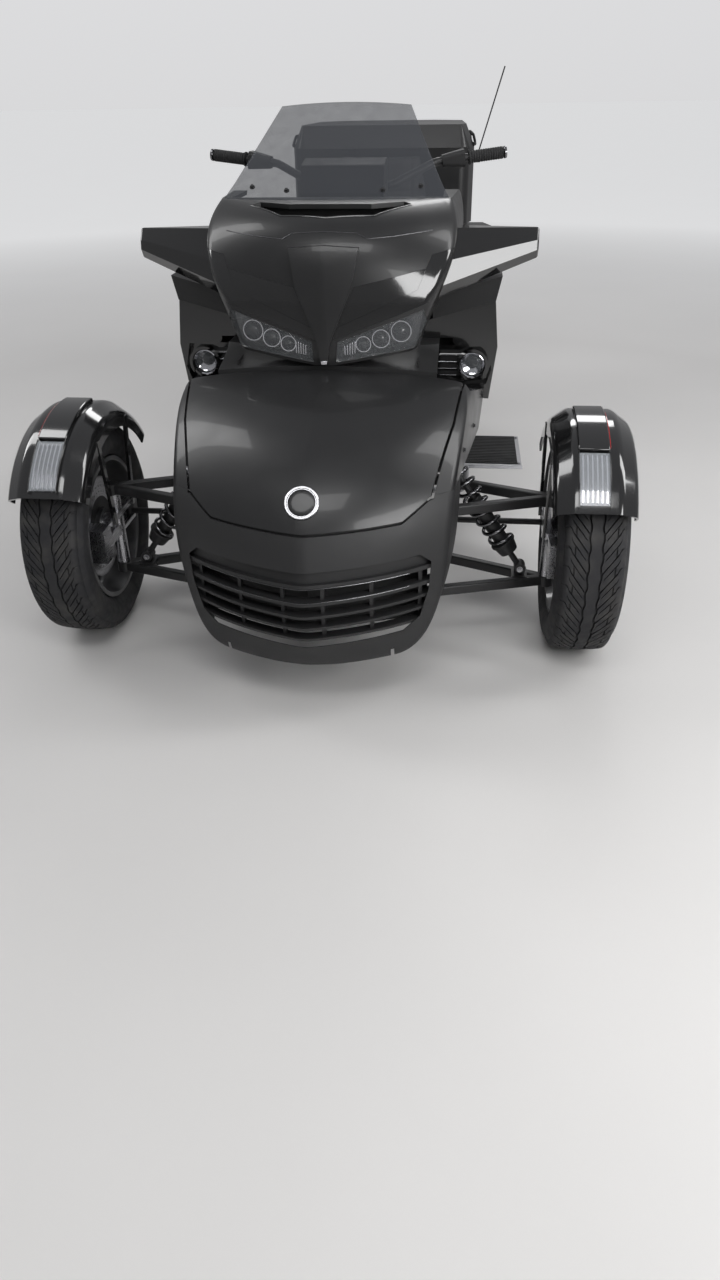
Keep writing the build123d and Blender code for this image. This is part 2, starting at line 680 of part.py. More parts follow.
# Cross members between the sides. Columns: distance, height, radius
CROSS_TUBES = [
    (CAGE_FRONT, LOWER_RAIL_Z, CROSS_R),
    (CAGE_FRONT, TUB_FLOOR - TUB_BAR_R - SEAM, TUB_BAR_R),
    (CAGE_REAR, LOWER_RAIL_Z, CROSS_R),
    (600, LOWER_RAIL_Z, CROSS_R),
    (1060, LOWER_RAIL_Z, CROSS_R),
    (400, SPAR_Z, CROSS_R),
    (960, SPAR_Z, CROSS_R),
    (*SWING_PIVOT, CROSS_R),
]
HEAD_Y = 496
HEAD_L = 50
head_low = Vector(*at(0, BAR_Y, BAR_Z)) + column_axis * (COLUMN_L + SEAM)
both_grown_sides = pair(frame_side(SEAM))
with BuildPart() as cross_tubes:
    for distance, z, radius in CROSS_TUBES:
        add(rod(at(-FRAME_X, distance, z), at(FRAME_X, distance, z), radius))
    add(rod(at(-FRAME_X, HEAD_Y, SPAR_Z), at(FRAME_X, HEAD_Y, SPAR_Z), CROSS_R))
    with BuildSketch(Plane(origin=head_low, z_dir=column_axis)):
        Circle(COLUMN_R + 6)
    extrude(amount=HEAD_L)
    add(both_grown_sides, mode=Mode.SUBTRACT)
with BuildPart() as panel_stay:
    add(rod(at(-420, SHOCK_Y, TOWER_Z), at(420, SHOCK_Y, TOWER_Z), STAY_R))
    add(nose_inner, mode=Mode.INTERSECT)
    for side in (-1, 1):
        bracket_x = side * (HOOD_HINGE_X - HOOD_LUG_W)
        with Locations(at(bracket_x, SHOCK_Y + 8, TOWER_Z)):
            Box(8, 24, HOOD_HINGE[1] - TOWER_Z + HOOD_PIN_R + 1, align=RISING)
        add(rod(at(bracket_x, *HOOD_HINGE), at(side * (HOOD_HINGE_X + 8), *HOOD_HINGE), HOOD_PIN_R))
with BuildPart() as cross_members:
    add([bar for bar in cross_tubes.part.solids() if bar.volume > 10000])
    add(panel_stay.part)
keep("frame_cross_members", cross_members.part)

# Rear rails with the stays of the bags and the posts of the top case, tied by a bar at the rear
REAR_RAIL_Z = SEAT_BASE_Z - REAR_RAIL_R - SEAM
RAIL_FRONT = 960 + CROSS_R + SEAM
RAIL_REAR = 2110
BAG_IN_X = 202
POST_R = 11
STAY_BAR_R = 10
with BuildPart() as rear_rail:
    add(rod(at(REAR_RAIL_X, RAIL_FRONT, REAR_RAIL_Z), at(REAR_RAIL_X, RAIL_REAR, REAR_RAIL_Z), REAR_RAIL_R))
    for distance in (1500, 1960):
        stay_in = at(REAR_RAIL_X, distance, REAR_RAIL_Z)
        add(rod(stay_in, at(BAG_IN_X - SEAM, distance, REAR_RAIL_Z), STAY_BAR_R))
    for distance in (1760, 2094):
        add(rod(at(REAR_RAIL_X, distance, REAR_RAIL_Z), at(REAR_RAIL_X, distance, RACK_Z - SEAM), POST_R))
with BuildPart() as rear_rails:
    add(pair(rear_rail.part))
    tie_x = REAR_RAIL_X - REAR_RAIL_R - SEAM
    add(rod(at(-tie_x, 2094, REAR_RAIL_Z), at(tie_x, 2094, REAR_RAIL_Z), STAY_BAR_R))
keep("rear_rails", rear_rails.part)

# Engine block on the cross tubes, with the output housing behind it
SPROCKET = (1184, 350)
OUTPUT_X = 110
ENGINE_W = 250
ENGINE_H = 384
with BuildPart() as engine:
    with Locations(at(0, 830, LOWER_RAIL_Z + CROSS_R + SEAM)):
        Box(ENGINE_W, 560, ENGINE_H, align=RISING)
    fillet(engine.edges().filter_by(Axis.Y), 30)
    with Locations(at(OUTPUT_X, 1110, SPROCKET[1])):
        Box(50, SPROCKET[0] - 1110, 80, align=(Align.MAX, Align.MIN, Align.CENTER))
    with Locations(along_x(at(OUTPUT_X, *SPROCKET))):
        Cylinder(40, 50, align=HANGING)
keep("engine", engine.part)

# Exhaust on the right: pipe from the engine and the silencer under the saddlebag
EXHAUST_X = -292
SILENCER = [(0, 0), (30, 0), (66, 70), (66, 540), (50, 556), (36, 556), (36, 540), (0, 540)]
silencer_axis = Vector(0, 1, 0.06).normalized()
silencer_start = at(EXHAUST_X, 1236, 329)
silencer_plane = Plane(origin=silencer_start, x_dir=(1, 0, 0), z_dir=Vector(1, 0, 0).cross(silencer_axis))
with BuildPart() as exhaust:
    pipe = [at(-ENGINE_W / 2 - SEAM, 980, 300), at(EXHAUST_X + 20, 980, 300), at(EXHAUST_X, 1250, 330)]
    add(tube(pipe, 22, 60))
    with BuildSketch(silencer_plane):
        with BuildLine():
            Polyline(*SILENCER, close=True)
        make_face()
    revolve(axis=Axis(silencer_start, silencer_axis))
    hanger = [at(-186, 1500, REAR_RAIL_Z - STAY_BAR_R - SEAM), at(-186, 1500, 430), at(-262, 1500, 384)]
    add(tube(hanger, 6, 25))
keep("exhaust", exhaust.part)


# Suspension arms of the left side: two legs from the pivot bushes to the ball joint
def wishbone(pivot_x, pivot_z, ball_z):
    """One left wishbone with its bushes and the boss of its ball joint."""
    ball = at(KINGPIN_X, 0, ball_z)
    with BuildPart() as arm:
        for distance in ARM_SPREAD:
            pivot = at(pivot_x, distance, pivot_z)
            add(box_bar(pivot, ball, ARM_LEG_W, ARM_LEG_H))
            with Locations(along_y(pivot)):
                Cylinder(BUSH_R, BUSH_L)
        with Locations(ball):
            Cylinder(ARM_BOSS_R, ARM_BOSS_H)
    return arm.part


with BuildPart() as lower_arm:
    add(wishbone(LOWER_PIVOT_X, LOWER_PIVOT_Z, LOWER_BALL_Z))
    with Locations(at(SHOCK_LOW[0], SHOCK_Y, SHOCK_LOW[1] - EYE_R - SEAM)):
        Box(40, 64, 14, align=HANGING)
keep("lower_arms", pair(lower_arm.part))
keep("upper_arms", pair(wishbone(UPPER_PIVOT_X, UPPER_BALL_Z, UPPER_BALL_Z)))

# Front shocks: damper, eyes and the coils of the spring
shock_low = Vector(*at(SHOCK_LOW[0], SHOCK_Y, SHOCK_LOW[1]))
shock_high = Vector(*at(SHOCK_HIGH[0], SHOCK_Y, SHOCK_HIGH[1]))
shock_run = shock_high - shock_low
shock_base = Plane(origin=shock_low, z_dir=shock_run.normalized())
with BuildPart() as front_shock:
    add(rod(shock_low, shock_high, EYE_R - 2))
    add(rod(shock_low + shock_run * 0.12, shock_low + shock_run * 0.9, SHOCK_BODY_R))
    for end in (shock_low, shock_high):
        with Locations(along_y(end)):
            Cylinder(EYE_R, 36)
    for i in range(COILS):
        with BuildSketch(shock_base.offset(48 + i * (shock_run.length - 110) / (COILS - 1))):
            Circle(SPRING_R)
        extrude(amount=SPRING_WIRE)
keep("front_shocks", pair(front_shock.part))

# Knuckles, fenders and wheels of the left side; the right side is their mirror image
FENDER_R = 332
FENDER_T = 5
FENDER_SIDES = (-104, 88)
FENDER_SKIRT = 66
FENDER_SHOULDER = (44, 30)
FENDER_ANGLES = (145, 38)
FENDER_ROUND = 26
LAMP_ANGLES = (142, 131, 120)
LAMP_SIDES = (-50, 16)
HUB_R = 38
RIM_HUB_IN = -36
RIM_HUB_OUT = 30
STAY_X = KINGPIN_X - 19
STAY_T = 8
CALIPER_Y = -108


def wheel_point(angle, radius):
    """Side-view point at an angle (0 rearward, 90 up) and radius from the front axle."""
    return (radius * cos(radians(angle)), FRONT_TYRE_R + radius * sin(radians(angle)))


def arc_band(plane, angles, outer_r, inner_r, point=wheel_point):
    """Band between two radii round a wheel, over the given start, middle and end angles."""
    outer = [point(a, outer_r) for a in angles]
    inner = [point(a, inner_r) for a in reversed(angles)]
    with BuildSketch(plane) as band:
        with BuildLine():
            ThreePointArc(*outer)
            Line(outer[-1], inner[0])
            ThreePointArc(*inner)
            Line(inner[-1], outer[0])
        make_face()
    return band.sketch


with BuildPart() as knuckle:
    with Locations(at(KINGPIN_X, 0, (UPPER_BALL_Z + LOWER_BALL_Z) / 2)):
        Cylinder(17, UPPER_BALL_Z - LOWER_BALL_Z - ARM_BOSS_H - 2 * SEAM)
    with Locations(along_x(at(KINGPIN_X, 0, FRONT_TYRE_R))):
        Cylinder(HUB_R, WHEEL_X + RIM_HUB_IN - KINGPIN_X - SEAM, align=RISING)
    with Locations(at(KINGPIN_X, TIE_ROD_Y / 2, TIE_ROD_Z - 10 - SEAM)):
        Box(24, TIE_ROD_Y + 24, 10, align=HANGING)
    with Locations(at(STAY_X, 0, FRONT_TYRE_R + 47)):
        Box(19, 170, 16, align=OUTWARD)
    with Locations(at(KINGPIN_X, CALIPER_Y / 2, FRONT_TYRE_R)):
        Box(22, -CALIPER_Y, 30)
    with Locations(at(KINGPIN_X - 11, CALIPER_Y, FRONT_TYRE_R)):
        Box(84, 54, 90, align=OUTWARD)
    with Locations(along_x(at(WHEEL_X - DISC_INBOARD, 0, FRONT_TYRE_R))):
        Cylinder(DISC_R + 6, DISC_T + 4, mode=Mode.SUBTRACT)

def fender_section(angle, centre, sides, radius, skirt, shoulder, round_r, inset=0.0):
    """Face across a wheel at a side-view angle: rounded crown between two skirts, closed below."""
    spoke = (0, cos(radians(angle)), sin(radians(angle)))
    plane = Plane(origin=centre, x_dir=(1, 0, 0), z_dir=(0, -spoke[2], spoke[1]))
    left, right = sides[0] + inset, sides[1] - inset
    crown = radius - inset
    low = radius - skirt - (30 if inset else 0)
    rise, run = shoulder[1], shoulder[0]
    points = [(left, crown - rise), (left + run, crown), (right - run, crown), (right, crown - rise)]
    with BuildSketch(plane) as section:
        with BuildLine():
            Polyline((left, low), *points, (right, low), close=True)
        make_face()
        fillet([v for v in section.vertices() if v.Y > low + 1], round_r - inset)
    return section.sketch


def fender_shell(angles, centre, sides, radius, skirt, shoulder, round_r):
    """Fender of even wall swept round a wheel between two side-view angles."""
    shape = (angles[1], centre, sides, radius, skirt, shoulder, round_r)
    with BuildPart() as shell:
        for inset, mode in ((0, Mode.ADD), (FENDER_T, Mode.SUBTRACT)):
            section = fender_section(*shape, inset=inset)
            revolve(section, axis=Axis(centre, (1, 0, 0)), revolution_arc=angles[0] - angles[1], mode=mode)
    return shell.part


front_centre = at(WHEEL_X, 0, FRONT_TYRE_R)
with BuildPart() as fender:
    fender_shape = (FENDER_SIDES, FENDER_R, FENDER_SKIRT, FENDER_SHOULDER, FENDER_ROUND)
    add(fender_shell(FENDER_ANGLES, front_centre, *fender_shape))
    for side in (-1, 1):
        foot_y, foot_z = side * 70, FRONT_TYRE_R + 40
        head_y, head_z = side * 104, FRONT_TYRE_R + 0.83 * FENDER_R
        stay = [(foot_y - 8, foot_z), (foot_y + 8, foot_z), (head_y + 8, head_z), (head_y - 8, head_z)]
        extrude(polygon(facing_left(STAY_X), stay), amount=-STAY_T)

with BuildPart() as marker_lamp:
    lens = arc_band(facing_left(WHEEL_X + LAMP_SIDES[0]), LAMP_ANGLES, FENDER_R + 9, FENDER_R + SEAM)
    extrude(lens, amount=LAMP_SIDES[1] - LAMP_SIDES[0])


def tyre(width, radius, centre):
    """Tyre with a crowned tread, rounded shoulders and sidewalls that swell over the rim."""
    half = width / 2
    bead = (half - 20, RIM_R + SEAM)
    swell = (half, (radius + RIM_R) / 2)
    shoulder = (half - 12, radius - 22)
    edge = (half - 26, radius - 4)
    corner = (half - 16, radius - 9)
    with BuildPart() as ring:
        with BuildSketch(Plane(origin=centre, x_dir=(1, 0, 0), z_dir=(0, -1, 0))):
            with BuildLine():
                Line((0, bead[1]), bead)
                ThreePointArc(bead, swell, shoulder)
                ThreePointArc(shoulder, corner, edge)
                ThreePointArc(edge, (0, radius), (-edge[0], edge[1]))
                ThreePointArc((-edge[0], edge[1]), (-corner[0], corner[1]), (-shoulder[0], shoulder[1]))
                ThreePointArc((-shoulder[0], shoulder[1]), (-swell[0], swell[1]), (-bead[0], bead[1]))
                Line((-bead[0], bead[1]), (0, bead[1]))
            make_face()
        revolve(axis=Axis(centre, (1, 0, 0)))
    return ring.part


def cast_rim(width, centre, spokes, hub_in, hub_out):
    """Cast wheel: barrel with lips, spokes behind its outer lip, and the hub."""
    half = width / 2
    profile = [
        (half, RIM_R - 12),
        (half, RIM_R),
        (half - 6, RIM_R),
        (half - 20, RIM_R - 8),
        (20 - half, RIM_R - 8),
        (6 - half, RIM_R),
        (-half, RIM_R),
        (-half, RIM_R - 12),
        (20 - half, RIM_R - 18),
        (half - 20, RIM_R - 18),
    ]
    outer_face = along_x((centre[0] + hub_out, centre[1], centre[2]))
    with BuildPart() as wheel:
        add(polygon(Plane(origin=centre, x_dir=(1, 0, 0), z_dir=(0, -1, 0)), profile))
        revolve(axis=Axis(centre, (1, 0, 0)))
        with BuildSketch(outer_face):
            Circle(HUB_CAP_R)
        extrude(amount=hub_in - hub_out)
        with BuildSketch(outer_face):
            with PolarLocations(0, spokes, start_angle=90):
                with Locations(((RIM_R - 16) / 2 + 15, 0)):
                    Trapezoid(48, RIM_R - 46, 85, rotation=-90)
        extrude(amount=-SPOKE_T)
    return wheel.part


def brake_disc(centre, radius):
    """Brake rotor that sits on the wheel's hub."""
    with BuildPart() as rotor:
        with BuildSketch(along_x(centre)):
            Circle(radius)
            Circle(HUB_CAP_R + SEAM, mode=Mode.SUBTRACT)
        extrude(amount=DISC_T / 2, both=True)
    return rotor.part


with BuildPart() as tie_rod:
    with Locations(at(KINGPIN_X, TIE_ROD_Y, TIE_ROD_Z)):
        Cylinder(12, 20)
    add(rod(at(KINGPIN_X, TIE_ROD_Y, TIE_ROD_Z), at(TIE_ROD_INNER_X, TIE_ROD_Y, TIE_ROD_Z), TIE_ROD_R))

LEFT_PIECES = [
    ("knuckle", knuckle.part),
    ("front_fender", fender.part),
    ("marker_lamp", marker_lamp.part),
    ("front_tyre", tyre(FRONT_TYRE_W, FRONT_TYRE_R, front_centre)),
    ("front_rim", cast_rim(FRONT_RIM_W, front_centre, FRONT_SPOKES, RIM_HUB_IN, RIM_HUB_OUT)),
    ("front_disc", brake_disc(at(WHEEL_X - DISC_INBOARD, 0, FRONT_TYRE_R), DISC_R)),
    ("tie_rod", tie_rod.part),
]
for name, part in LEFT_PIECES:
    keep(f"{name}_left", part)
    keep(f"{name}_right", other_side(part))

# Handlebar with its column, grips and switch housings
grip_run = Vector(*at(*GRIP_OUT)) - Vector(*at(*GRIP_IN))
grip_plane = Plane(origin=at(*GRIP_IN), z_dir=grip_run.normalized())
elbow = Vector(*at(*GRIP_IN)) - grip_run.normalized() * 90
with BuildPart() as handlebar:
    add(pair(tube([at(0, BAR_Y, BAR_Z), at(110, BAR_Y, BAR_Z), elbow, at(*GRIP_OUT)], BAR_R, 50)))
    with Locations(column_plane):
        Cylinder(COLUMN_R, COLUMN_L, align=RISING)
keep("handlebar", handlebar.part)

with BuildPart() as grip:
    with BuildSketch(grip_plane.offset(8)):
        Circle(GRIP_R)
        Circle(BAR_R + SEAM, mode=Mode.SUBTRACT)
    extrude(amount=grip_run.length - 8)
    with BuildSketch(grip_plane.offset(grip_run.length + SEAM)):
        Circle(GRIP_R)
    extrude(amount=8)
keep("grips", pair(grip.part))

HOUSING_RUN = 70
with BuildPart() as switch_housing:
    with BuildSketch(grip_plane.offset(-6)):
        RectangleRounded(54, 48, 12)
    with BuildSketch(grip_plane.offset(-HOUSING_RUN)):
        RectangleRounded(34, 32, 10)
    loft()
    with Locations(grip_plane.offset(-HOUSING_RUN - 10)):
        Cylinder(BAR_R + SEAM, HOUSING_RUN + 20, align=RISING, mode=Mode.SUBTRACT)
keep("switch_housings", pair(switch_housing.part))

# Rear wheel, swing arm and belt drive
SWINGARM_X = 158
SWINGARM_R = 15
SWING_BOSS_R = 24
AXLE_R = 12
PULLEY_R = 105
SPROCKET_R = 40
BELT_X = 127
BELT_W = 20
BELT_T = 7
rear_centre = at(0, WHEELBASE, REAR_TYRE_R)
keep("rear_tyre", tyre(REAR_TYRE_W, REAR_TYRE_R, rear_centre))
with BuildPart() as rear_rim:
    add(cast_rim(REAR_RIM_W, rear_centre, REAR_SPOKES, -100, 60))
    with Locations(along_x(at(BELT_X, WHEELBASE, REAR_TYRE_R))):
        Cylinder(PULLEY_R, BELT_W)
    with Locations(along_x(at(60, WHEELBASE, REAR_TYRE_R))):
        Cylinder(40, 2 * (BELT_X - 60))
    with Locations(along_x(rear_centre)):
        Cylinder(AXLE_R + SEAM, 600, mode=Mode.SUBTRACT)
keep("rear_rim", rear_rim.part)

with BuildPart() as swingarm:
    axle = (WHEELBASE, REAR_TYRE_R)
    for side in (-1, 1):
        leg_x = side * SWINGARM_X
        add(tube([at(leg_x, *SWING_PIVOT), at(leg_x, 1440, 340), at(leg_x, *axle)], SWINGARM_R, 80))
        for point in (SWING_PIVOT, axle):
            with Locations(along_x(at(leg_x, *point))):
                Cylinder(SWING_BOSS_R, 2 * SWINGARM_R)
    with Locations(along_x(at(0, 1376, 372))):
        Cylinder(17, 2 * SWINGARM_X)
    for side in (-1, 1):
        with Locations(along_x(at(side * SWINGARM_X, *SWING_PIVOT))):
            Cylinder(CROSS_R + SEAM, 60, mode=Mode.SUBTRACT)
    add(rod(at(-SWINGARM_X - 24, *axle), at(SWINGARM_X + 24, *axle), AXLE_R))
keep("swingarm", swingarm.part)

with BuildPart() as drive_belt:
    with BuildSketch(facing_left(BELT_X)):
        for grow, mode in ((BELT_T, Mode.ADD), (0, Mode.SUBTRACT)):
            with BuildSketch(facing_left(BELT_X), mode=mode):
                with Locations(SPROCKET):
                    Circle(SPROCKET_R + SEAM + grow)
                with Locations((WHEELBASE, REAR_TYRE_R)):
                    Circle(PULLEY_R + SEAM + grow)
                make_hull()
    extrude(amount=BELT_W / 2, both=True)
    with Locations(along_x(at(OUTPUT_X + SEAM, *SPROCKET))):
        Cylinder(SPROCKET_R, BELT_X + BELT_W / 2 - OUTPUT_X - SEAM, align=RISING)
keep("drive_belt", drive_belt.part)

# Rear fender over the tyre, and the tail lamps
REAR_FENDER_R = 334
REAR_FENDER_ANGLES = (128, 14)
REAR_FENDER_HALF_W = REAR_RAIL_X - REAR_RAIL_R - SEAM
REAR_FENDER_SKIRT = 40
rear_fender_sides = (-REAR_FENDER_HALF_W, REAR_FENDER_HALF_W)
rear_fender_shape = (rear_fender_sides, REAR_FENDER_R, REAR_FENDER_SKIRT, (6, 6), 7)
keep("rear_fender", fender_shell(REAR_FENDER_ANGLES, rear_centre, *rear_fender_shape))

TAIL_LAMP = [(2110 + SEAM, 596), (2110 + SEAM, 668), (2150, 660), (2156, 604)]
with BuildPart() as tail_lamp:
    extrude(polygon(facing_left(70), TAIL_LAMP), amount=110)
keep("tail_lamps", pair(tail_lamp.part))

# Saddlebags and their lids, hinged along the lower edge
BAG_SIDE = [(1440, 480), (1460, 770), (2040, 800), (2130, 700), (2110, 540), (1520, 450)]
BAG_ROUND = 36
BAG_OUT_X = 400
BAG_LID_T = 36
BAG_HINGE_Z = 443.6
BAG_HINGES = (1500, 1620)
HINGE_R = 6
HINGE_PIN_R = 2.5
HINGE_L = 24
bag_hinge_x = BAG_OUT_X + SEAM
with BuildPart() as bag:
    extrude(rounded(facing_left(BAG_IN_X), BAG_SIDE, BAG_ROUND), amount=BAG_OUT_X - BAG_IN_X)
    offset(amount=-PANEL_WALL, openings=bag.faces().sort_by(Axis.X)[-1])
    for distance in BAG_HINGES:
        pin_ends = [at(bag_hinge_x, distance + end, BAG_HINGE_Z) for end in (-28, 28)]
        add(rod(*pin_ends, HINGE_PIN_R))
        for end in (-23, 23):
            with Locations(along_y(at(bag_hinge_x, distance + end, BAG_HINGE_Z))):
                Cylinder(HINGE_R, 10)
            with Locations(at(BAG_OUT_X, distance + end, BAG_HINGE_Z)):
                Box(8, 10, 40, align=(Align.MAX, Align.CENTER, Align.MIN))
keep("saddlebags", pair(bag.part))
with BuildPart() as bag_lid:
    extrude(rounded(facing_left(bag_hinge_x), BAG_SIDE, BAG_ROUND), amount=BAG_LID_T, taper=20)
    for distance in BAG_HINGES:
        with Locations(along_y(at(bag_hinge_x, distance, BAG_HINGE_Z))):
            Cylinder(HINGE_R, HINGE_L)
        with Locations(at(bag_hinge_x, distance, BAG_HINGE_Z)):
            Box(6, HINGE_L, 30, align=(Align.MIN, Align.CENTER, Align.MIN))
        with Locations(along_y(at(bag_hinge_x, distance, BAG_HINGE_Z))):
            Cylinder(HINGE_PIN_R + SEAM, HINGE_L + 2, mode=Mode.SUBTRACT)
keep("saddlebag_lid_left", bag_lid.part)
keep("saddlebag_lid_right", other_side(bag_lid.part))

# Top case and its lid, hinged along the front edge
CASE_PLAN = [(326, CASE_FRONT), (350, 1800), (330, 2250), (190, 2356)]
CASE_ROUND = 38
CASE_SPLIT = 1092
CASE_TOP = 1168
CASE_HINGE_Y = CASE_FRONT - HINGE_R - 2
CASE_HINGE_X = 120
case_outline = both_sides([(x, back(y)) for x, y in CASE_PLAN])
with BuildPart() as top_case:
    extrude(rounded(Plane.XY.offset(RACK_Z), case_outline, CASE_ROUND), amount=CASE_SPLIT - RACK_Z)
    offset(amount=-PANEL_WALL, openings=top_case.faces().sort_by(Axis.Z)[-1])
    for x in (-CASE_HINGE_X, CASE_HINGE_X):
        add(rod(at(x - 28, CASE_HINGE_Y, CASE_SPLIT), at(x + 28, CASE_HINGE_Y, CASE_SPLIT), HINGE_PIN_R))
        for end in (-23, 23):
            with Locations(along_x(at(x + end, CASE_HINGE_Y, CASE_SPLIT))):
                Cylinder(HINGE_R, 10)
            with Locations(at(x + end, CASE_HINGE_Y, CASE_SPLIT - HINGE_R)):
                Box(10, HINGE_R + 4, HINGE_R, align=REARWARD_RISING)
keep("top_case", top_case.part)
with BuildPart() as top_case_lid:
    lid_face = rounded(Plane.XY.offset(CASE_SPLIT + SEAM), case_outline, CASE_ROUND)
    extrude(lid_face, amount=CASE_TOP - CASE_SPLIT - SEAM, taper=24)
    for x in (-CASE_HINGE_X, CASE_HINGE_X):
        with Locations(along_x(at(x, CASE_HINGE_Y, CASE_SPLIT))):
            Cylinder(HINGE_R, HINGE_L)
        with Locations(at(x, CASE_HINGE_Y, CASE_SPLIT + SEAM)):
            Box(HINGE_L, HINGE_R + 8, HINGE_R - 1, align=REARWARD_RISING)
        with Locations(along_x(at(x, CASE_HINGE_Y, CASE_SPLIT))):
            Cylinder(HINGE_PIN_R + SEAM, HINGE_L + 2, mode=Mode.SUBTRACT)
keep("top_case_lid", top_case_lid.part)

# Rider's boards and the whip aerial
BOARD_SIDE = [(480, 292), (520, 276), (800, 276), (800, 286), (524, 286), (486, 300)]
with BuildPart() as footboard:
    extrude(polygon(facing_left(330), BOARD_SIDE), amount=200)
    for distance in (560, 740):
        foot = at(FRAME_X + SPAR_R + SEAM, distance, LOWER_RAIL_Z)
        add(tube([foot, at(360, distance, LOWER_RAIL_Z), at(360, distance, 280)], 10, 30))
keep("footboards", pair(footboard.part))

AERIAL_FOOT = (CASE_PLAN[1][0] + 10, CASE_PLAN[1][1], 1050)
AERIAL_TOP = (449, 1800, 1350)
with BuildPart() as antenna:
    add(rod(at(*AERIAL_FOOT), at(*AERIAL_TOP), 2.5))
    with Locations(at(*AERIAL_FOOT)):
        Cylinder(10, 24)
keep("antenna", antenna.part)

os.makedirs("parts", exist_ok=True)
for piece in pieces:
    export_step(piece, f"parts/{piece.label}.step")
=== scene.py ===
"""Looks of a three-wheeled touring motorcycle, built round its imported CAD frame."""
import json
import math

import bmesh
import bpy
from mathutils import Euler, Matrix, Vector
from mathutils.bvhtree import BVHTree


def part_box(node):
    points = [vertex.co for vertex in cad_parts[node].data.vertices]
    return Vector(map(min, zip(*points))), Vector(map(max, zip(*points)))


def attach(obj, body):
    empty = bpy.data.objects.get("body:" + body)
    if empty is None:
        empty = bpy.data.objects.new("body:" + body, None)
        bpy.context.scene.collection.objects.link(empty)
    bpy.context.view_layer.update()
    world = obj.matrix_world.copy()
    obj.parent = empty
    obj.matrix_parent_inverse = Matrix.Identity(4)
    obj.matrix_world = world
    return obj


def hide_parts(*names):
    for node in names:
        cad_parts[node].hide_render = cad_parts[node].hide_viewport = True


bl_info = {
    "name": "Touring three-wheeler",
    "version": (1, 0, 0),
    "blender": (4, 5, 0),
    "location": "View3D > Sidebar > Three-wheeler",
    "description": "Finishes and fittings of a touring three-wheeler",
    "category": "Object",
}

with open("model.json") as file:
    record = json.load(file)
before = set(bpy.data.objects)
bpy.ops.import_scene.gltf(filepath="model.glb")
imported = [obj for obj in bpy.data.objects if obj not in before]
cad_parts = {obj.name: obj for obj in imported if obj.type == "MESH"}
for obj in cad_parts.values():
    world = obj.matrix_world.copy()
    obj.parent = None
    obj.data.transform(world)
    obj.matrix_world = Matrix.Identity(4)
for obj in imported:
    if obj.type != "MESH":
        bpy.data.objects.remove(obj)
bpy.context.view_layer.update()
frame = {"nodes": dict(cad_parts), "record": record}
AXLE_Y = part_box("front_rim_left")[0].y / 2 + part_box("front_rim_left")[1].y / 2
SIDES = {"left": 1, "right": -1}


def at(x, distance, z):
    """A point in metres from millimetres: x, distance behind the front axle, and height."""
    return Vector((x / 1000, AXLE_Y + distance / 1000, z / 1000))


# Node graphs


class Wire:
    """An output socket that takes part in Python sums; each sum adds a Math node."""

    def __init__(self, graph, socket):
        self.graph = graph
        self.socket = socket

    def _math(self, operation, *values):
        return self.graph.node(self.graph.MATH, {"operation": operation}, *values)

    def __add__(self, other):
        return self._math("ADD", self, other)

    def __radd__(self, other):
        return self._math("ADD", other, self)

    def __sub__(self, other):
        return self._math("SUBTRACT", self, other)

    def __rsub__(self, other):
        return self._math("SUBTRACT", other, self)

    def __mul__(self, other):
        return self._math("MULTIPLY", self, other)

    def __rmul__(self, other):
        return self._math("MULTIPLY", other, self)

    def __truediv__(self, other):
        return self._math("DIVIDE", self, other)

    def __rtruediv__(self, other):
        return self._math("DIVIDE", other, self)

    def __pow__(self, other):
        return self._math("POWER", self, other)

    def __rpow__(self, other):
        return self._math("POWER", other, self)

    def size(self):
        """The value without its sign."""
        return self._math("ABSOLUTE", self)

    def sine(self):
        """The sine of the value."""
        return self._math("SINE", self)

    def above(self, limit):
        """One where the value is over the limit."""
        return self._math("GREATER_THAN", self, limit)


class Graph:
    """A node tree under construction."""

    MATH = "ShaderNodeMath"

    def __init__(self, tree):
        self.tree = tree

    def node(self, kind, settings=None, *values, out=0, **named):
        """Adds a node: its settings first, then the values or wires of its inputs, and returns one output."""
        node = self.tree.nodes.new(kind)
        for key, value in (settings or {}).items():
            if key == "stops":
                ramp = node.color_ramp
                while len(ramp.elements) < len(value):
                    ramp.elements.new(0.5)
                for element, (position, colour) in zip(ramp.elements, value):
                    element.position = position
                    element.color = colour
            else:
                setattr(node, key, value)
        for index, value in enumerate(values):
            self.feed(node.inputs[index], value)
        for key, value in named.items():
            self.feed(node.inputs[key.replace("_", " ")], value)
        return None if out is None else Wire(self, node.outputs[out])

    def feed(self, socket, value):
        """Links a wire to an input, or sets the input's own value."""
        if value is None:
            return
        if isinstance(value, Wire):
            self.tree.links.new(value.socket, socket)
        else:
            socket.default_value = value


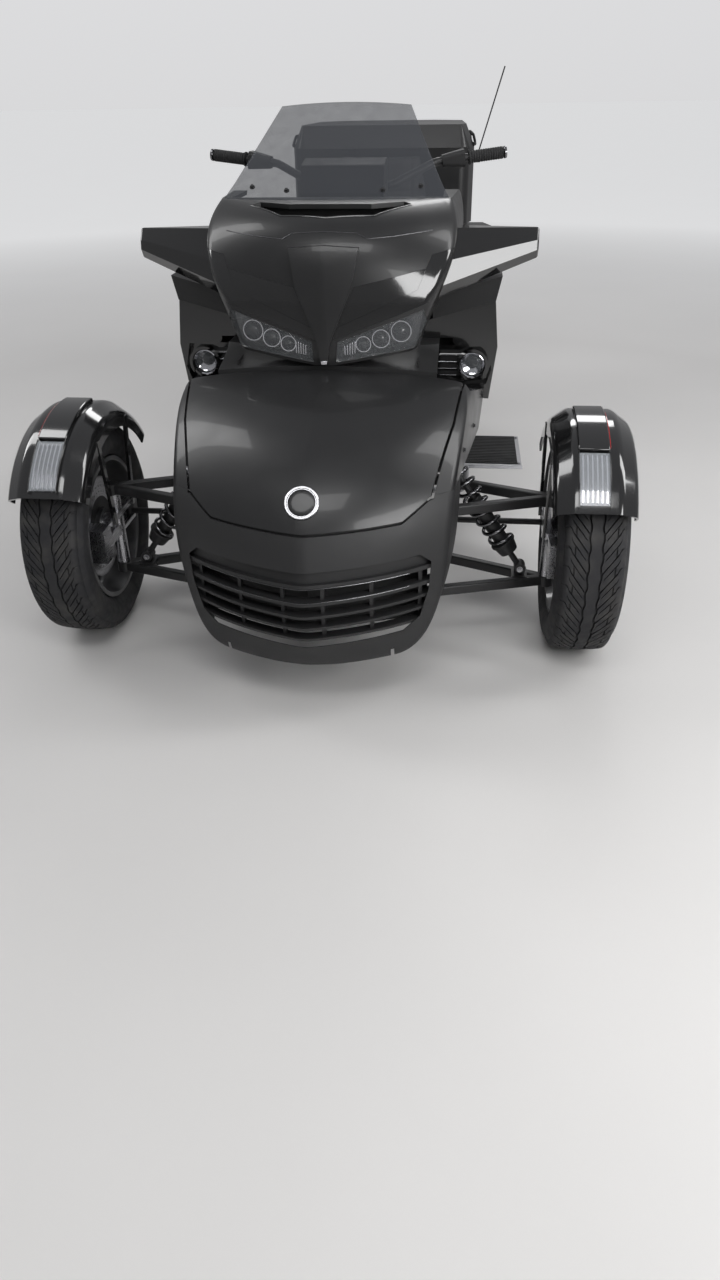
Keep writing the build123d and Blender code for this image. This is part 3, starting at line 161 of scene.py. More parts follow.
class Finish(Graph):
    """A material with its Principled shader, in the object's own coordinates."""

    def __init__(self, name, **shader):
        self.material = bpy.data.materials.new(name)
        self.material.use_nodes = True
        super().__init__(self.material.node_tree)
        self.shader = self.tree.nodes["Principled BSDF"]
        self.shade(**shader)
        self.place = self.node("ShaderNodeTexCoord", out="Object")

    def shade(self, **values):
        """Sets or links the shader's inputs."""
        for key, value in values.items():
            self.feed(self.shader.inputs[key.replace("_", " ")], value)

    def turned(self, centre=(0, 0, 0), stretch=(1, 1, 1)):
        """The coordinates about a centre, stretched along the axes."""
        shift = [-c * s for c, s in zip(centre, stretch)]
        return self.node("ShaderNodeMapping", {}, self.place, Location=shift, Scale=stretch)

    def noise(self, scale, detail=3.0, place=None):
        """Soft noise from 0 to 1."""
        return self.node("ShaderNodeTexNoise", {}, Vector=place or self.place, Scale=scale, Detail=detail)

    def cells(self, scale, feature="F1", place=None):
        """Distance to the nearest cell's point or edge."""
        place = place or self.place
        return self.node("ShaderNodeTexVoronoi", {"feature": feature}, Vector=place, Scale=scale)

    def between(self, value, low, high, out_low, out_high):
        """A value mapped from one range to another and held inside it."""
        return self.node("ShaderNodeMapRange", {}, value, low, high, out_low, out_high)

    def blend(self, share, first, second):
        """A colour between two others."""
        mix = self.tree.nodes.new("ShaderNodeMix")
        mix.data_type = "RGBA"
        # A Mix node carries its factor at 0, its colours at 6 and 7, and its colour result at 2
        for index, value in ((0, share), (6, first), (7, second)):
            self.feed(mix.inputs[index], value)
        return Wire(self, mix.outputs[2])

    def relief(self, height, depth):
        """A normal from a height of 0 to 1 that stands for a depth in metres."""
        return self.node("ShaderNodeBump", {}, Height=height, Distance=depth, Strength=1.0)

    def axes(self, place=None):
        """The three coordinates as wires."""
        parts = self.node("ShaderNodeSeparateXYZ", {}, place or self.place)
        return [Wire(self, parts.socket.node.outputs[i]) for i in range(3)]


def grey(level, alpha=1.0):
    """A neutral colour."""
    return (level, level, level * 1.04, alpha)


def moulded(name, level, roughness, coat=0.0, grain=0.0, grain_scale=900.0, tint=None):
    """Moulded or lacquered plastic: soft clouding in colour and gloss, with a fine grain where it has one."""
    f = Finish(name, Metallic=0.0, Coat_Weight=coat, Coat_Roughness=0.05)
    dark, light = tint or (grey(level * 0.86), grey(level * 1.14))
    f.shade(Base_Color=f.blend(f.noise(3.5), dark, light))
    f.shade(Roughness=f.between(f.noise(14.0, 5.0), 0.3, 0.7, roughness * 0.9, roughness * 1.12))
    peel = f.noise(260.0, 2.0)
    if grain:
        f.shade(Normal=f.relief(f.cells(grain_scale) * 0.7 + peel * 0.3, grain))
    else:
        f.shade(Normal=f.relief(peel, 0.00003))
    return f.material


def metal(name, level, roughness, cast=0.0, brushed=(1, 1, 1), tint=None):
    """Metal with faint streaks along its brushing, or the pits of a casting."""
    f = Finish(name, Metallic=1.0)
    low, high = tint or (grey(level * 0.85), grey(level * 1.12))
    streaks = f.noise(420.0, 4.0, f.turned(stretch=brushed))
    f.shade(Base_Color=f.blend(streaks, low, high))
    f.shade(Roughness=f.between(streaks, 0.3, 0.7, roughness * 0.8, roughness * 1.25))
    pits = f.cells(700.0) if cast else streaks
    f.shade(Normal=f.relief(pits, cast or 0.00002))
    return f.material


def turned_steel(name, centre):
    """Brake rotor steel with the fine rings that the pads leave."""
    f = Finish(name, Metallic=1.0)
    _, y, z = f.axes(f.turned(centre))
    radius = (y * y + z * z) ** 0.5
    rings = f.noise(1.0, 4.0, f.node("ShaderNodeCombineXYZ", {}, radius * 900.0, 0.0, 0.0))
    worn = radius.above(0.078) * f.between(radius, 0.128, 0.1355, 1.0, 0.0)
    f.shade(Base_Color=f.blend(worn, grey(0.16), f.blend(rings, grey(0.42), grey(0.6))))
    f.shade(Roughness=f.between(rings, 0.2, 0.8, 0.2, 0.38), Normal=f.relief(rings, 0.00004))
    return f.material


def tyre_rubber(name, centre):
    """Tyre rubber: matt tread, smoother walls with faint rings, and a little dust in patches."""
    f = Finish(name, Metallic=0.0, Specular_IOR_Level=0.35)
    x, y, z = f.axes(f.turned(centre))
    radius = (y * y + z * z) ** 0.5
    dust = f.between(f.noise(22.0, 6.0), 0.45, 0.75, 0.0, 1.0)
    f.shade(Base_Color=f.blend(dust, (0.022, 0.022, 0.024, 1), (0.05, 0.048, 0.046, 1)))
    f.shade(Roughness=f.between(f.noise(60.0, 5.0), 0.3, 0.7, 0.62, 0.82))
    rings = (radius * 2600.0).sine() * 0.5 + 0.5
    wall = f.between(x.size(), 0.045, 0.06, 0.0, 1.0)
    f.shade(Normal=f.relief(rings * wall * 0.4 + f.noise(500.0, 3.0) * 0.6, 0.00012))
    return f.material


def seat_vinyl(name, level=0.028):
    """Grained seat cover: pebbled leather grain with creases and a soft sheen."""
    f = Finish(name, Metallic=0.0, Sheen_Weight=0.08)
    pebbles = f.cells(520.0, "DISTANCE_TO_EDGE")
    shallow = f.between(pebbles, 0.0, 0.25, 0.0, 1.0)
    f.shade(Base_Color=f.blend(f.noise(9.0, 5.0), grey(level * 0.75), grey(level * 1.25)))
    f.shade(Roughness=f.between(shallow * 0.5 + f.noise(40.0) * 0.5, 0.2, 0.9, 0.6, 0.42))
    f.shade(Normal=f.relief(shallow * 0.8 + f.noise(90.0, 4.0) * 0.2, 0.00022))
    return f.material


def lens(name, colour, roughness=0.03, ribs=0.0, alpha=0.22, along=0):
    """Clear or coloured moulded lens, seen through in part, with fine ribs where it has them."""
    f = Finish(name, Metallic=0.0, Coat_Weight=1.0, Coat_Roughness=0.03, IOR=1.5, Transmission_Weight=0.0)
    haze = f.noise(30.0, 4.0)
    f.shade(Base_Color=f.blend(haze, colour, tuple(c * 0.9 for c in colour[:3]) + (1,)))
    f.shade(Roughness=f.between(haze, 0.3, 0.7, roughness, roughness * 2.5))
    if ribs:
        wave = (f.axes()[along] * (2 * math.pi / ribs)).sine() * 0.5 + 0.5
        f.shade(Normal=f.relief(wave, 0.0009), Alpha=f.between(wave, 0.0, 1.0, alpha, min(1.0, alpha * 2.2)))
    else:
        f.shade(Alpha=f.between(haze, 0.2, 0.8, alpha, alpha * 1.15))
    return f.material


def silvered(name, level=0.82):
    """Mirror glass or bright chrome, with the faintest haze."""
    f = Finish(name, Metallic=1.0)
    haze = f.noise(25.0, 4.0)
    f.shade(Base_Color=f.blend(haze, grey(level), grey(level * 0.94)))
    f.shade(Roughness=f.between(haze, 0.3, 0.8, 0.04, 0.09))
    return f.material


FINISHES = {}


def build_finishes():
    """Makes every finish once, by the name of the record's slot or of the part that wears it."""
    FINISHES.update({
        "satin_black": moulded("satin_black", 0.013, 0.34, coat=0.2),
        "gloss_black": moulded("gloss_black", 0.008, 0.12, coat=1.0),
        "textured_black": moulded("textured_black", 0.016, 0.55, grain=0.00012),
        "frame_black": moulded("frame_black", 0.02, 0.42, grain=0.00008, grain_scale=1600.0),
        "engine_metal": metal("engine_metal", 0.12, 0.5, cast=0.0003),
        "steel": metal("steel", 0.45, 0.28, brushed=(1, 0.05, 1)),
        "rim_paint": moulded("rim_paint", 0.045, 0.33, coat=0.6, grain=0.00003, grain_scale=2500.0),
        "seat_cover": seat_vinyl("seat_cover"),
        "lens": lens("lens", (0.85, 0.9, 0.95, 1)),
        "smoke_screen": lens("smoke_screen", (0.05, 0.055, 0.065, 1), alpha=0.45),
        "tail_lens": lens("tail_lens", (0.42, 0.008, 0.008, 1), ribs=0.006, alpha=0.75),
        "mirror": silvered("mirror"),
        "chrome": silvered("chrome", 0.7),
        "dark_chrome": metal("dark_chrome", 0.2, 0.22),
        "seal": moulded("seal", 0.008, 0.6, grain=0.0001),
        "stitch": moulded("stitch", 0.06, 0.7, grain=0.0001),
        "amber_lens": lens("amber_lens", (0.8, 0.22, 0.02, 1), ribs=0.006, alpha=0.7),
        "clear_lens": lens("clear_lens", (0.6, 0.63, 0.66, 1), alpha=0.06),
        "screen_glass": moulded("screen_glass", 0.004, 0.06, coat=1.0),
        "rubber": moulded("rubber", 0.018, 0.75, grain=0.0002),
        "board_grey": metal("board_grey", 0.36, 0.42, cast=0.0002),
    })
    for corner, node in (("left", "front_rim_left"), ("right", "front_rim_right"), ("rear", "rear_rim")):
        low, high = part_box(node)
        middle = tuple((low + high) / 2)
        FINISHES[f"tyre_{corner}"] = tyre_rubber(f"tyre_{corner}", middle)
        if corner != "rear":
            FINISHES[f"disc_{corner}"] = turned_steel(f"disc_{corner}", middle)


def dress(thing, finish):
    """Gives an object one finish."""
    thing.data.materials.clear()
    thing.data.materials.append(FINISHES[finish])


# Meshes

MM = 0.001
# Turns outlines of (distance, z) in millimetres into metres, drawn out to the left
SIDEWAYS = Matrix(((0, 0, MM, 0), (MM, 0, 0, 0), (0, MM, 0, 0), (0, 0, 0, 1)))


def side_frame(x):
    """The frame of SIDEWAYS at a place across the vehicle."""
    return Matrix.Translation(at(x, 0, 0)) @ SIDEWAYS


def front_frame(distance):
    """Frame for outlines of (x, z) in millimetres, drawn out forward."""
    place = at(0, distance, 0)
    return Matrix(((MM, 0, 0, place.x), (0, 0, -MM, place.y), (0, MM, 0, place.z), (0, 0, 0, 1)))


def top_frame(z):
    """Frame for outlines of (x, distance) in millimetres, drawn out upward."""
    place = at(0, 0, z)
    return Matrix(((MM, 0, 0, place.x), (0, MM, 0, place.y), (0, 0, MM, place.z), (0, 0, 0, 1)))


def arc_through(start, middle, end, steps):
    """Points from start to just before end along the circle through three points."""
    (ax, ay), (bx, by), (cx, cy) = start, middle, end
    d = 2 * (ax * (by - cy) + bx * (cy - ay) + cx * (ay - by))
    sa, sb, sc = ax * ax + ay * ay, bx * bx + by * by, cx * cx + cy * cy
    centre = Vector(((sa * (by - cy) + sb * (cy - ay) + sc * (ay - by)) / d,
                     (sa * (cx - bx) + sb * (ax - cx) + sc * (bx - ax)) / d))
    first, second, last = (Vector(point) - centre for point in (start, middle, end))
    sweep = first.angle_signed(second) + second.angle_signed(last)
    return [centre + Matrix.Rotation(-sweep * k / steps, 2) @ first for k in range(steps)]


class Shape:
    """A closed mesh under construction, in metres."""

    def __init__(self):
        self.mesh = bmesh.new()

    def box(self, middle, size, turn=None):
        """A block about its middle, with sizes in millimetres."""
        grown = Matrix.Diagonal((size[0] * MM, size[1] * MM, size[2] * MM, 1.0))
        place = Matrix.Translation(middle) @ (turn or Matrix()) @ grown
        bmesh.ops.create_cube(self.mesh, size=1.0, matrix=place)
        return self

    def rod(self, start, end, radius, far=None, sides=24):
        """A round bar between two points, or a cone where its far radius differs; radii in millimetres."""
        line = Vector(end) - Vector(start)
        turn = line.to_track_quat("Z", "Y").to_matrix().to_4x4()
        bmesh.ops.create_cone(
            self.mesh, cap_ends=True, segments=sides, radius1=radius * MM,
            radius2=(radius if far is None else far) * MM, depth=line.length,
            matrix=Matrix.Translation((Vector(start) + Vector(end)) / 2) @ turn)
        return self

    def lathe(self, profile, centre, axis, steps=64):
        """A closed profile of (radius, along) in millimetres, turned about an axis through the centre."""
        turn = Vector(axis).to_track_quat("Z", "Y").to_matrix()
        rings = []
        for step in range(steps):
            c, s = math.cos(math.tau * step / steps), math.sin(math.tau * step / steps)
            places = (Vector(centre) + turn @ Vector((r * c, r * s, u)) * MM for r, u in profile)
            rings.append([self.mesh.verts.new(place) for place in places])
        self.walls(rings + rings[:1])
        return self

    def prism(self, outline, place, low, high):
        """An outline in a frame, drawn out between two depths."""
        return self.loft([[place @ Vector((u, v, w)) for u, v in outline] for w in (low, high)])

    def walls(self, rings):
        """Faces between closed rings of points."""
        for ring, after in zip(rings, rings[1:]):
            for i in range(len(ring)):
                j = (i + 1) % len(ring)
                self.mesh.faces.new((ring[i], ring[j], after[j], after[i]))

    def loft(self, sections):
        """A closed skin over sections of equal numbers of points."""
        rings = [[self.mesh.verts.new(point) for point in section] for section in sections]
        self.mesh.faces.new(rings[0][::-1])
        self.mesh.faces.new(rings[-1])
        self.walls(rings)
        return self

    def bar(self, path, width, height=None, up=(0, 0, 1), sides=10):
        """A bar of oval section along a path of points; width and height in millimetres."""
        path = [Vector(point) for point in path]
        height = height or width
        sections = []
        for i, point in enumerate(path):
            along = (path[min(i + 1, len(path) - 1)] - path[max(i - 1, 0)]).normalized()
            across = along.cross(Vector(up)).normalized()
            lift = across.cross(along)
            sections.append([
                point + (across * width * math.cos(a) + lift * height * math.sin(a)) * MM / 2
                for a in (math.tau * k / sides for k in range(sides))])
        return self.loft(sections)

    def data(self, name):
        """Ends the shape as mesh data with its faces outward."""
        bmesh.ops.remove_doubles(self.mesh, verts=self.mesh.verts, dist=1e-6)
        bmesh.ops.recalc_face_normals(self.mesh, faces=self.mesh.faces)
        data = bpy.data.meshes.new(name)
        self.mesh.to_mesh(data)
        self.mesh.free()
        return data

    def piece(self, name, finish, **options):
        """Ends the shape as a finished piece."""
        return settle(name, self.data(name), finish, **options)


def settle(name, data, finish, body="chassis", bevel=0.0, smooth=32.0, replaces=(), layers=0):
    """Makes mesh data a piece of the vehicle: shading, bevel in millimetres, finish and body."""
    thing = bpy.data.objects.new(name, data)
    bpy.context.scene.collection.objects.link(thing)
    data.shade_smooth()
    if smooth:
        data.set_sharp_from_angle(angle=math.radians(smooth))
    if bevel:
        edge = thing.modifiers.new("edges", "BEVEL")
        edge.width = bevel * MM
        edge.segments = 2
        edge.limit_method = "ANGLE"
    if layers:
        skin = thing.modifiers.new("skin", "SUBSURF")
        skin.levels = skin.render_levels = layers
    dress(thing, finish)
    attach(thing, body)
    if replaces:
        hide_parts(*replaces)
    return thing


# What repeats


class Tree(Graph):
    """A Geometry Nodes tree with named inputs, that ends in real faces with one finish."""

    def __init__(self, name, inputs):
        group = bpy.data.node_groups.new(name, "GeometryNodeTree")
        group.interface.new_socket("Geometry", in_out="INPUT", socket_type="NodeSocketGeometry")
        for title, (kind, value) in inputs.items():
            group.interface.new_socket(title, in_out="INPUT", socket_type=kind).default_value = value
        group.interface.new_socket("Finish", in_out="INPUT", socket_type="NodeSocketMaterial")
        group.interface.new_socket("Geometry", in_out="OUTPUT", socket_type="NodeSocketGeometry")
        super().__init__(group)
        self.source = group.nodes.new("NodeGroupInput")

    def given(self, title):
        """The wire of a named input."""
        return Wire(self, self.source.outputs[title])

    def end(self, geometry, merge=0.0):
        """Realizes the instances, joins their seams and sets the finish."""
        real = self.node("GeometryNodeRealizeInstances", {}, geometry)
        if merge:
            real = self.node("GeometryNodeMergeByDistance", {}, real, Distance=merge)
        done = self.node("GeometryNodeSetMaterial", {}, real, Material=self.given("Finish"))
        self.node("NodeGroupOutput", {}, done, out=None)
        return self.tree


def ring_tree():
    """The source repeated round an axis through the origin, then moved to its centre."""
    tree = Tree("ring", {
        "Count": ("NodeSocketInt", 12), "Axis": ("NodeSocketVector", (1, 0, 0)),
        "Centre": ("NodeSocketVector", (0, 0, 0)), "Start": ("NodeSocketFloat", 0.0)})
    turn = tree.node("GeometryNodeInputIndex") * math.tau / tree.given("Count") + tree.given("Start")
    rotation = tree.node("FunctionNodeAxisAngleToRotation", {}, tree.given("Axis"), turn)
    points = tree.node("GeometryNodePoints", {}, tree.given("Count"))
    ring = tree.node(
        "GeometryNodeInstanceOnPoints", {}, points, Instance=tree.given("Geometry"), Rotation=rotation)
    moved = tree.node("GeometryNodeTransform", {}, ring, Translation=tree.given("Centre"))
    return tree.end(moved, merge=0.00002)


def row_tree():
    """The source repeated in a straight row."""
    tree = Tree("row", {"Count": ("NodeSocketInt", 5), "Step": ("NodeSocketVector", (0, 0, 0.01))})
    line = tree.node(
        "GeometryNodeMeshLine", {"mode": "OFFSET"}, Count=tree.given("Count"), Offset=tree.given("Step"))
    return tree.end(tree.node("GeometryNodeInstanceOnPoints", {}, line, Instance=tree.given("Geometry")))


def screw_tree():
    """A washer and a hexagon head on each point, square to the point's axis."""
    tree = Tree("screws", {"Radius": ("NodeSocketFloat", 0.005)})
    radius = tree.given("Radius")
    washer = tree.node("GeometryNodeMeshCylinder", {}, Vertices=20, Radius=radius * 1.35, Depth=radius * 0.4)
    head = tree.node("GeometryNodeMeshCone", {}, Vertices=6, Radius_Top=radius * 0.85, Radius_Bottom=radius,
                     Depth=radius * 1.1)
    both = tree.node("GeometryNodeJoinGeometry", {}, washer)
    tree.tree.links.new(head.socket, both.socket.node.inputs[0])
    axis = tree.node("GeometryNodeInputNamedAttribute", {"data_type": "FLOAT_VECTOR"}, "axis")
    turn = tree.node("FunctionNodeAlignRotationToVector", {"axis": "Z"}, Vector=axis)
    points = tree.given("Geometry")
    return tree.end(tree.node("GeometryNodeInstanceOnPoints", {}, points, Instance=both, Rotation=turn))


def trail_tree():
    """Small blocks along the source's edges, such as stitches and belt teeth."""
    tree = Tree("trail", {
        "Pitch": ("NodeSocketFloat", 0.008), "Size": ("NodeSocketVector", (0.001, 0.004, 0.001))})
    line = tree.node("GeometryNodeMeshToCurve", {}, tree.given("Geometry"))
    points = tree.node("GeometryNodeResampleCurve", {"mode": "LENGTH"}, line, Length=tree.given("Pitch"))
    block = tree.node("GeometryNodeMeshCube", {}, Size=tree.given("Size"))
    turn = tree.node(
        "FunctionNodeAlignRotationToVector", {"axis": "Y"}, Vector=tree.node("GeometryNodeInputTangent"))
    return tree.end(tree.node("GeometryNodeInstanceOnPoints", {}, points, Instance=block, Rotation=turn))


def coil_tree():
    """A spring: a helix of round wire with closed ends."""
    tree = Tree("coil", {
        "Turns": ("NodeSocketFloat", 8.0), "Radius": ("NodeSocketFloat", 0.03),
        "Wire": ("NodeSocketFloat", 0.005), "Height": ("NodeSocketFloat", 0.3),
        "Foot": ("NodeSocketVector", (0, 0, 0)), "Run": ("NodeSocketVector", (0, 0, 1))})
    radius = tree.given("Radius")
    helix = tree.node(
        "GeometryNodeCurveSpiral", {}, Resolution=28, Rotations=tree.given("Turns"), Start_Radius=radius,
        End_Radius=radius, Height=tree.given("Height"))
    section = tree.node(
        "GeometryNodeCurvePrimitiveCircle", {"mode": "RADIUS"}, Resolution=10, Radius=tree.given("Wire"))
    wire = tree.node("GeometryNodeCurveToMesh", {}, helix, section, Fill_Caps=True)
    turn = tree.node("FunctionNodeAlignRotationToVector", {"axis": "Z"}, Vector=tree.given("Run"))
    return tree.end(tree.node(
        "GeometryNodeTransform", {}, wire, Translation=tree.given("Foot"), Rotation=turn))


TREES = {}


def grow(name, data, tree, values, finish, **options):
    """Runs a tree on source data and makes its result a plain piece."""
    if tree not in TREES:
        TREES[tree] = tree()
    source = bpy.data.objects.new(name + "_source", data)
    bpy.context.scene.collection.objects.link(source)
    maker = source.modifiers.new(name, "NODES")
    maker.node_group = TREES[tree]
    for item in maker.node_group.interface.items_tree:
        if item.in_out == "INPUT" and item.name in values:
            maker[item.identifier] = values[item.name]
        if item.in_out == "INPUT" and item.name == "Finish":
            maker[item.identifier] = FINISHES[finish]
    grown = bpy.data.meshes.new_from_object(source.evaluated_get(bpy.context.evaluated_depsgraph_get()))
    bpy.data.objects.remove(source)
    if not grown.polygons:
        raise RuntimeError(f"{name} came out empty")
    grown.name = name
    return settle(name, grown, finish, **options)


def screws(name, places, radius, finish="steel", body="chassis"):
    """Screw heads at those places that were met, each a point and the axis that its head stands along."""
    places = [place for place in places if place[0]]
    data = bpy.data.meshes.new(name)
    data.from_pydata([point for point, _ in places], [], [])
    axes = data.attributes.new("axis", "FLOAT_VECTOR", "POINT")
    for item, (_, axis) in zip(axes.data, places):
        item.vector = axis
    return grow(name, data, screw_tree, {"Radius": radius * MM}, finish, body=body)


def trail(name, points, pitch, size, finish):
    """Small blocks along a line of points."""
    data = bpy.data.meshes.new(name)
    data.from_pydata(points, [(i, i + 1) for i in range(len(points) - 1)], [])
    values = {"Pitch": pitch * MM, "Size": [q * MM for q in size]}
    return grow(name, data, trail_tree, values, finish)


# Stage and camera


class CameraPlace(bpy.types.PropertyGroup):
    """Where the camera stands and how it looks."""

    place: bpy.props.FloatVectorProperty(
        name="Place", description="Camera position", subtype="XYZ", unit="LENGTH", size=3,
        default=(0.3218, -3.1265, 1.2861))
    heading: bpy.props.FloatProperty(
        name="Heading", description="Turn to the left of straight along the vehicle", unit="ROTATION",
        default=math.radians(6.375))
    dip: bpy.props.FloatProperty(
        name="Dip", description="Angle below the horizon", unit="ROTATION", default=math.radians(31.29))
    roll: bpy.props.FloatProperty(
        name="Roll", description="Turn about the line of sight", unit="ROTATION", default=math.radians(-0.95))
    lens: bpy.props.FloatProperty(
        name="Lens", description="Focal length for 36 mm of frame height", default=25.507)


class TRIKE_OT_stage(bpy.types.Operator):
    """Camera at the photograph's place, pale floor, soft studio lights"""

    bl_idname = "trike.stage"
    bl_label = "Stage and camera"

    def execute(self, context):
        scene = context.scene
        sizes = scene.trike_camera
        data = bpy.data.cameras.new("camera")
        data.sensor_fit = "VERTICAL"
        data.sensor_width = data.sensor_height = 36.0
        data.lens = sizes.lens
        data.clip_start = 0.05
        camera = bpy.data.objects.new("camera", data)
        scene.collection.objects.link(camera)
        turn = Euler((math.pi / 2 - sizes.dip, 0, sizes.heading)).to_matrix()
        camera.matrix_world = Matrix.Translation(sizes.place) @ (
            turn @ Matrix.Rotation(sizes.roll, 3, "Z")).to_4x4()
        scene.camera = camera
        scene.view_settings.view_transform = "Standard"

        floor = Finish("floor", Roughness=0.5)
        patches = floor.noise(1.2, 4.0)
        floor.shade(Base_Color=floor.blend(patches, (0.62, 0.61, 0.6, 1), (0.68, 0.67, 0.66, 1)))
        x, y, _ = floor.axes()
        # Far from the vehicle the floor brightens towards the sky, so that no horizon shows
        far = floor.between((x * x + y * y) ** 0.5, 2.6, 8.0, 0.0, 0.5)
        seen = Wire(floor, floor.tree.nodes.new("ShaderNodeLightPath").outputs["Is Camera Ray"])
        glow = floor.blend(seen * far, (0, 0, 0, 1), (0.98, 0.99, 1.0, 1))
        floor.shade(Emission_Color=glow, Emission_Strength=1.0)
        mesh = bpy.data.meshes.new("floor")
        reach = 90
        corners = [(-reach, -reach, 0), (reach, -reach, 0), (reach, reach, 0), (-reach, reach, 0)]
        mesh.from_pydata(corners, [], [(0, 1, 2, 3)])
        ground = bpy.data.objects.new("floor", mesh)
        mesh.materials.append(floor.material)
        scene.collection.objects.link(ground)

        world = bpy.data.worlds.new("studio")
        scene.world = world
        world.use_nodes = True
        sky = Graph(world.node_tree)
        up = sky.node("ShaderNodeSeparateXYZ", {}, sky.node("ShaderNodeTexCoord", out="Generated"), out=2)
        shade = sky.node(
            "ShaderNodeValToRGB", {"stops": [(0.0, (0.5, 0.49, 0.47, 1)), (1.0, (0.95, 0.96, 1.0, 1))]},
            up * 0.5 + 0.5)
        background = world.node_tree.nodes["Background"]
        seen = Wire(sky, world.node_tree.nodes.new("ShaderNodeLightPath").outputs["Is Camera Ray"])
        sky.feed(background.inputs["Color"], shade)
        sky.feed(background.inputs["Strength"], seen * 0.62 + 0.34)
        # Columns: name, place, size, watts, where it aims
        lights = (
            ("ceiling_front", (0.0, -3.4, 4.2), (2.8, 1.0), 46.0, (0.0, -0.6, 0.6)),
            ("ceiling_left", (3.6, -0.4, 3.6), (1.0, 3.2), 62.0, (0.0, -0.2, 0.6)),
            ("ceiling_right", (-3.4, 0.2, 3.6), (1.0, 3.2), 50.0, (0.0, -0.2, 0.6)),
            ("ceiling_rear", (0.3, 3.4, 3.8), (2.6, 1.0), 50.0, (0.0, 0.4, 0.8)),
            ("window_left", (2.2, -2.85, 1.7), (1.9, 1.1), 50.0, (0.25, -0.8, 0.9)),
        )
        for name, place, size, power, aim in lights:
            lamp = bpy.data.lights.new(name, "AREA")
            lamp.shape = "RECTANGLE"
            lamp.size, lamp.size_y = size
            lamp.energy = power
            holder = bpy.data.objects.new(name, lamp)
            holder.location = place
            line = Vector(aim) - Vector(place)
            holder.rotation_euler = line.to_track_quat("-Z", "Y").to_euler()
            scene.collection.objects.link(holder)
        return {"FINISHED"}


class TRIKE_OT_paintwork(bpy.types.Operator):
    """Gives every CAD piece the finish of its slot"""

    bl_idname = "trike.paintwork"
    bl_label = "Paintwork"

    def execute(self, context):
        build_finishes()
        slots = {part["node"]: part["material_slot"] for part in frame["record"]["subparts"]}
        for name, thing in frame["nodes"].items():
            finish = slots[name]
            corner = next((c for c in ("left", "right", "rear") if c in name), "")
            if finish == "tyre":
                finish = f"tyre_{corner}"
            elif "disc" in name:
                finish = f"disc_{corner}"
            dress(thing, finish)
        return {"FINISHED"}


def block(name, place, size, finish, bevel=0.0, turn=None, body="chassis"):
    """A block about its middle as a piece, with sizes in millimetres."""
    return Shape().box(place, size, turn).piece(name, finish, bevel=bevel, body=body)


def turned(name, profile, centre, axis, finish, steps=64, **options):
    """A profile turned about an axis as a piece."""
    return Shape().lathe(profile, centre, axis, steps).piece(name, finish, **options)


def strip(name, hits, width, height, finish, up=(0, 0, 1), body="chassis"):
    """A thin bar as a piece, along those of the points that were met."""
    return Shape().bar([hit for hit in hits if hit], width, height, up).piece(name, finish, body=body)


def bolt_ring(place, out, proud, radius, count, start=0.0):
    """Places of bolts on a circle about a crosswise axis, in millimetres from its middle."""
    angles = (math.tau * k / count + start for k in range(count))
    return [(place + Vector((out * proud, radius * math.sin(a), radius * math.cos(a))) * MM, (out, 0, 0))
            for a in angles]


def once(side, *nodes):
    """The nodes that a pair of pieces stands for, named by its left one."""
    return nodes if side == "left" else ()


def middle_of(node):
    """The middle of a CAD node's box."""
    low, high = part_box(node)
    return (low + high) / 2


def ray_tree(data):
    """Mesh data ready to be met by rays."""
    return BVHTree.FromPolygons([v.co for v in data.vertices], [p.vertices for p in data.polygons])


# Ray trees of the CAD nodes, each made when it is first asked for
SURFACES = {}


def meets(node, start, direction):
    """Where a straight line first meets a CAD node, or None."""
    if node not in SURFACES:
        SURFACES[node] = ray_tree(frame["nodes"][node].data)
    return SURFACES[node].ray_cast(Vector(start), Vector(direction).normalized())[0]


def from_front(node, x, z, proud=0.0):
    """The point of a node seen from straight ahead at x and z, in millimetres."""
    hit = meets(node, at(x, -1500, z), (0, 1, 0))
    return hit and hit - Vector((0, proud * MM, 0))


def from_above(node, x, distance, proud=0.0):
    """The point of a node seen from straight above, in millimetres."""
    hit = meets(node, at(x, distance, 2000), (0, 0, -1))
    return hit and hit + Vector((0, 0, proud * MM))


def from_side(node, out, distance, z, proud=0.0):
    """The point of a node seen from the side at a distance and height, in millimetres."""
    hit = meets(node, at(out * 1500, distance, z), (-out, 0, 0))
    return hit and hit + Vector((out * proud * MM, 0, 0))


def between(start, end, count):
    """Points spread evenly from start to end."""
    return [Vector(start).lerp(Vector(end), k / (count - 1)) for k in range(count)]


def spread(corners, count):
    """Points along a line of corners."""
    points = []
    for start, end in zip(corners, corners[1:]):
        points += between(start, end, count)[:-1]
    return points + [Vector(corners[-1])]


def skin(name, node, keeps, wall, finish, **options):
    """A thin wall from the faces of a CAD node that are kept."""
    mesh = bmesh.new()
    mesh.from_mesh(frame["nodes"][node].data)
    bmesh.ops.remove_doubles(mesh, verts=mesh.verts, dist=1e-5)
    bmesh.ops.delete(mesh, geom=[face for face in mesh.faces if not keeps(face)], context="FACES")
    data = bpy.data.meshes.new(name)
    mesh.to_mesh(data)
    mesh.free()
    thing = settle(name, data, finish, **options)
    solid = thing.modifiers.new("wall", "SOLIDIFY")
    solid.thickness = wall * MM
    solid.offset = -1.0
    return thing


# Wheels: columns are the body, tyre half width, radius, tread pitches, rim half width, spokes
WHEELS = {
    "left": ("front_wheel_left", 82.5, 281, 38, 69, 6),
    "right": ("front_wheel_right", 82.5, 281, 38, 69, 6),
    "rear": ("rear_wheel", 112.5, 303, 41, 98, 5),
}
BEAD_R = 190.4
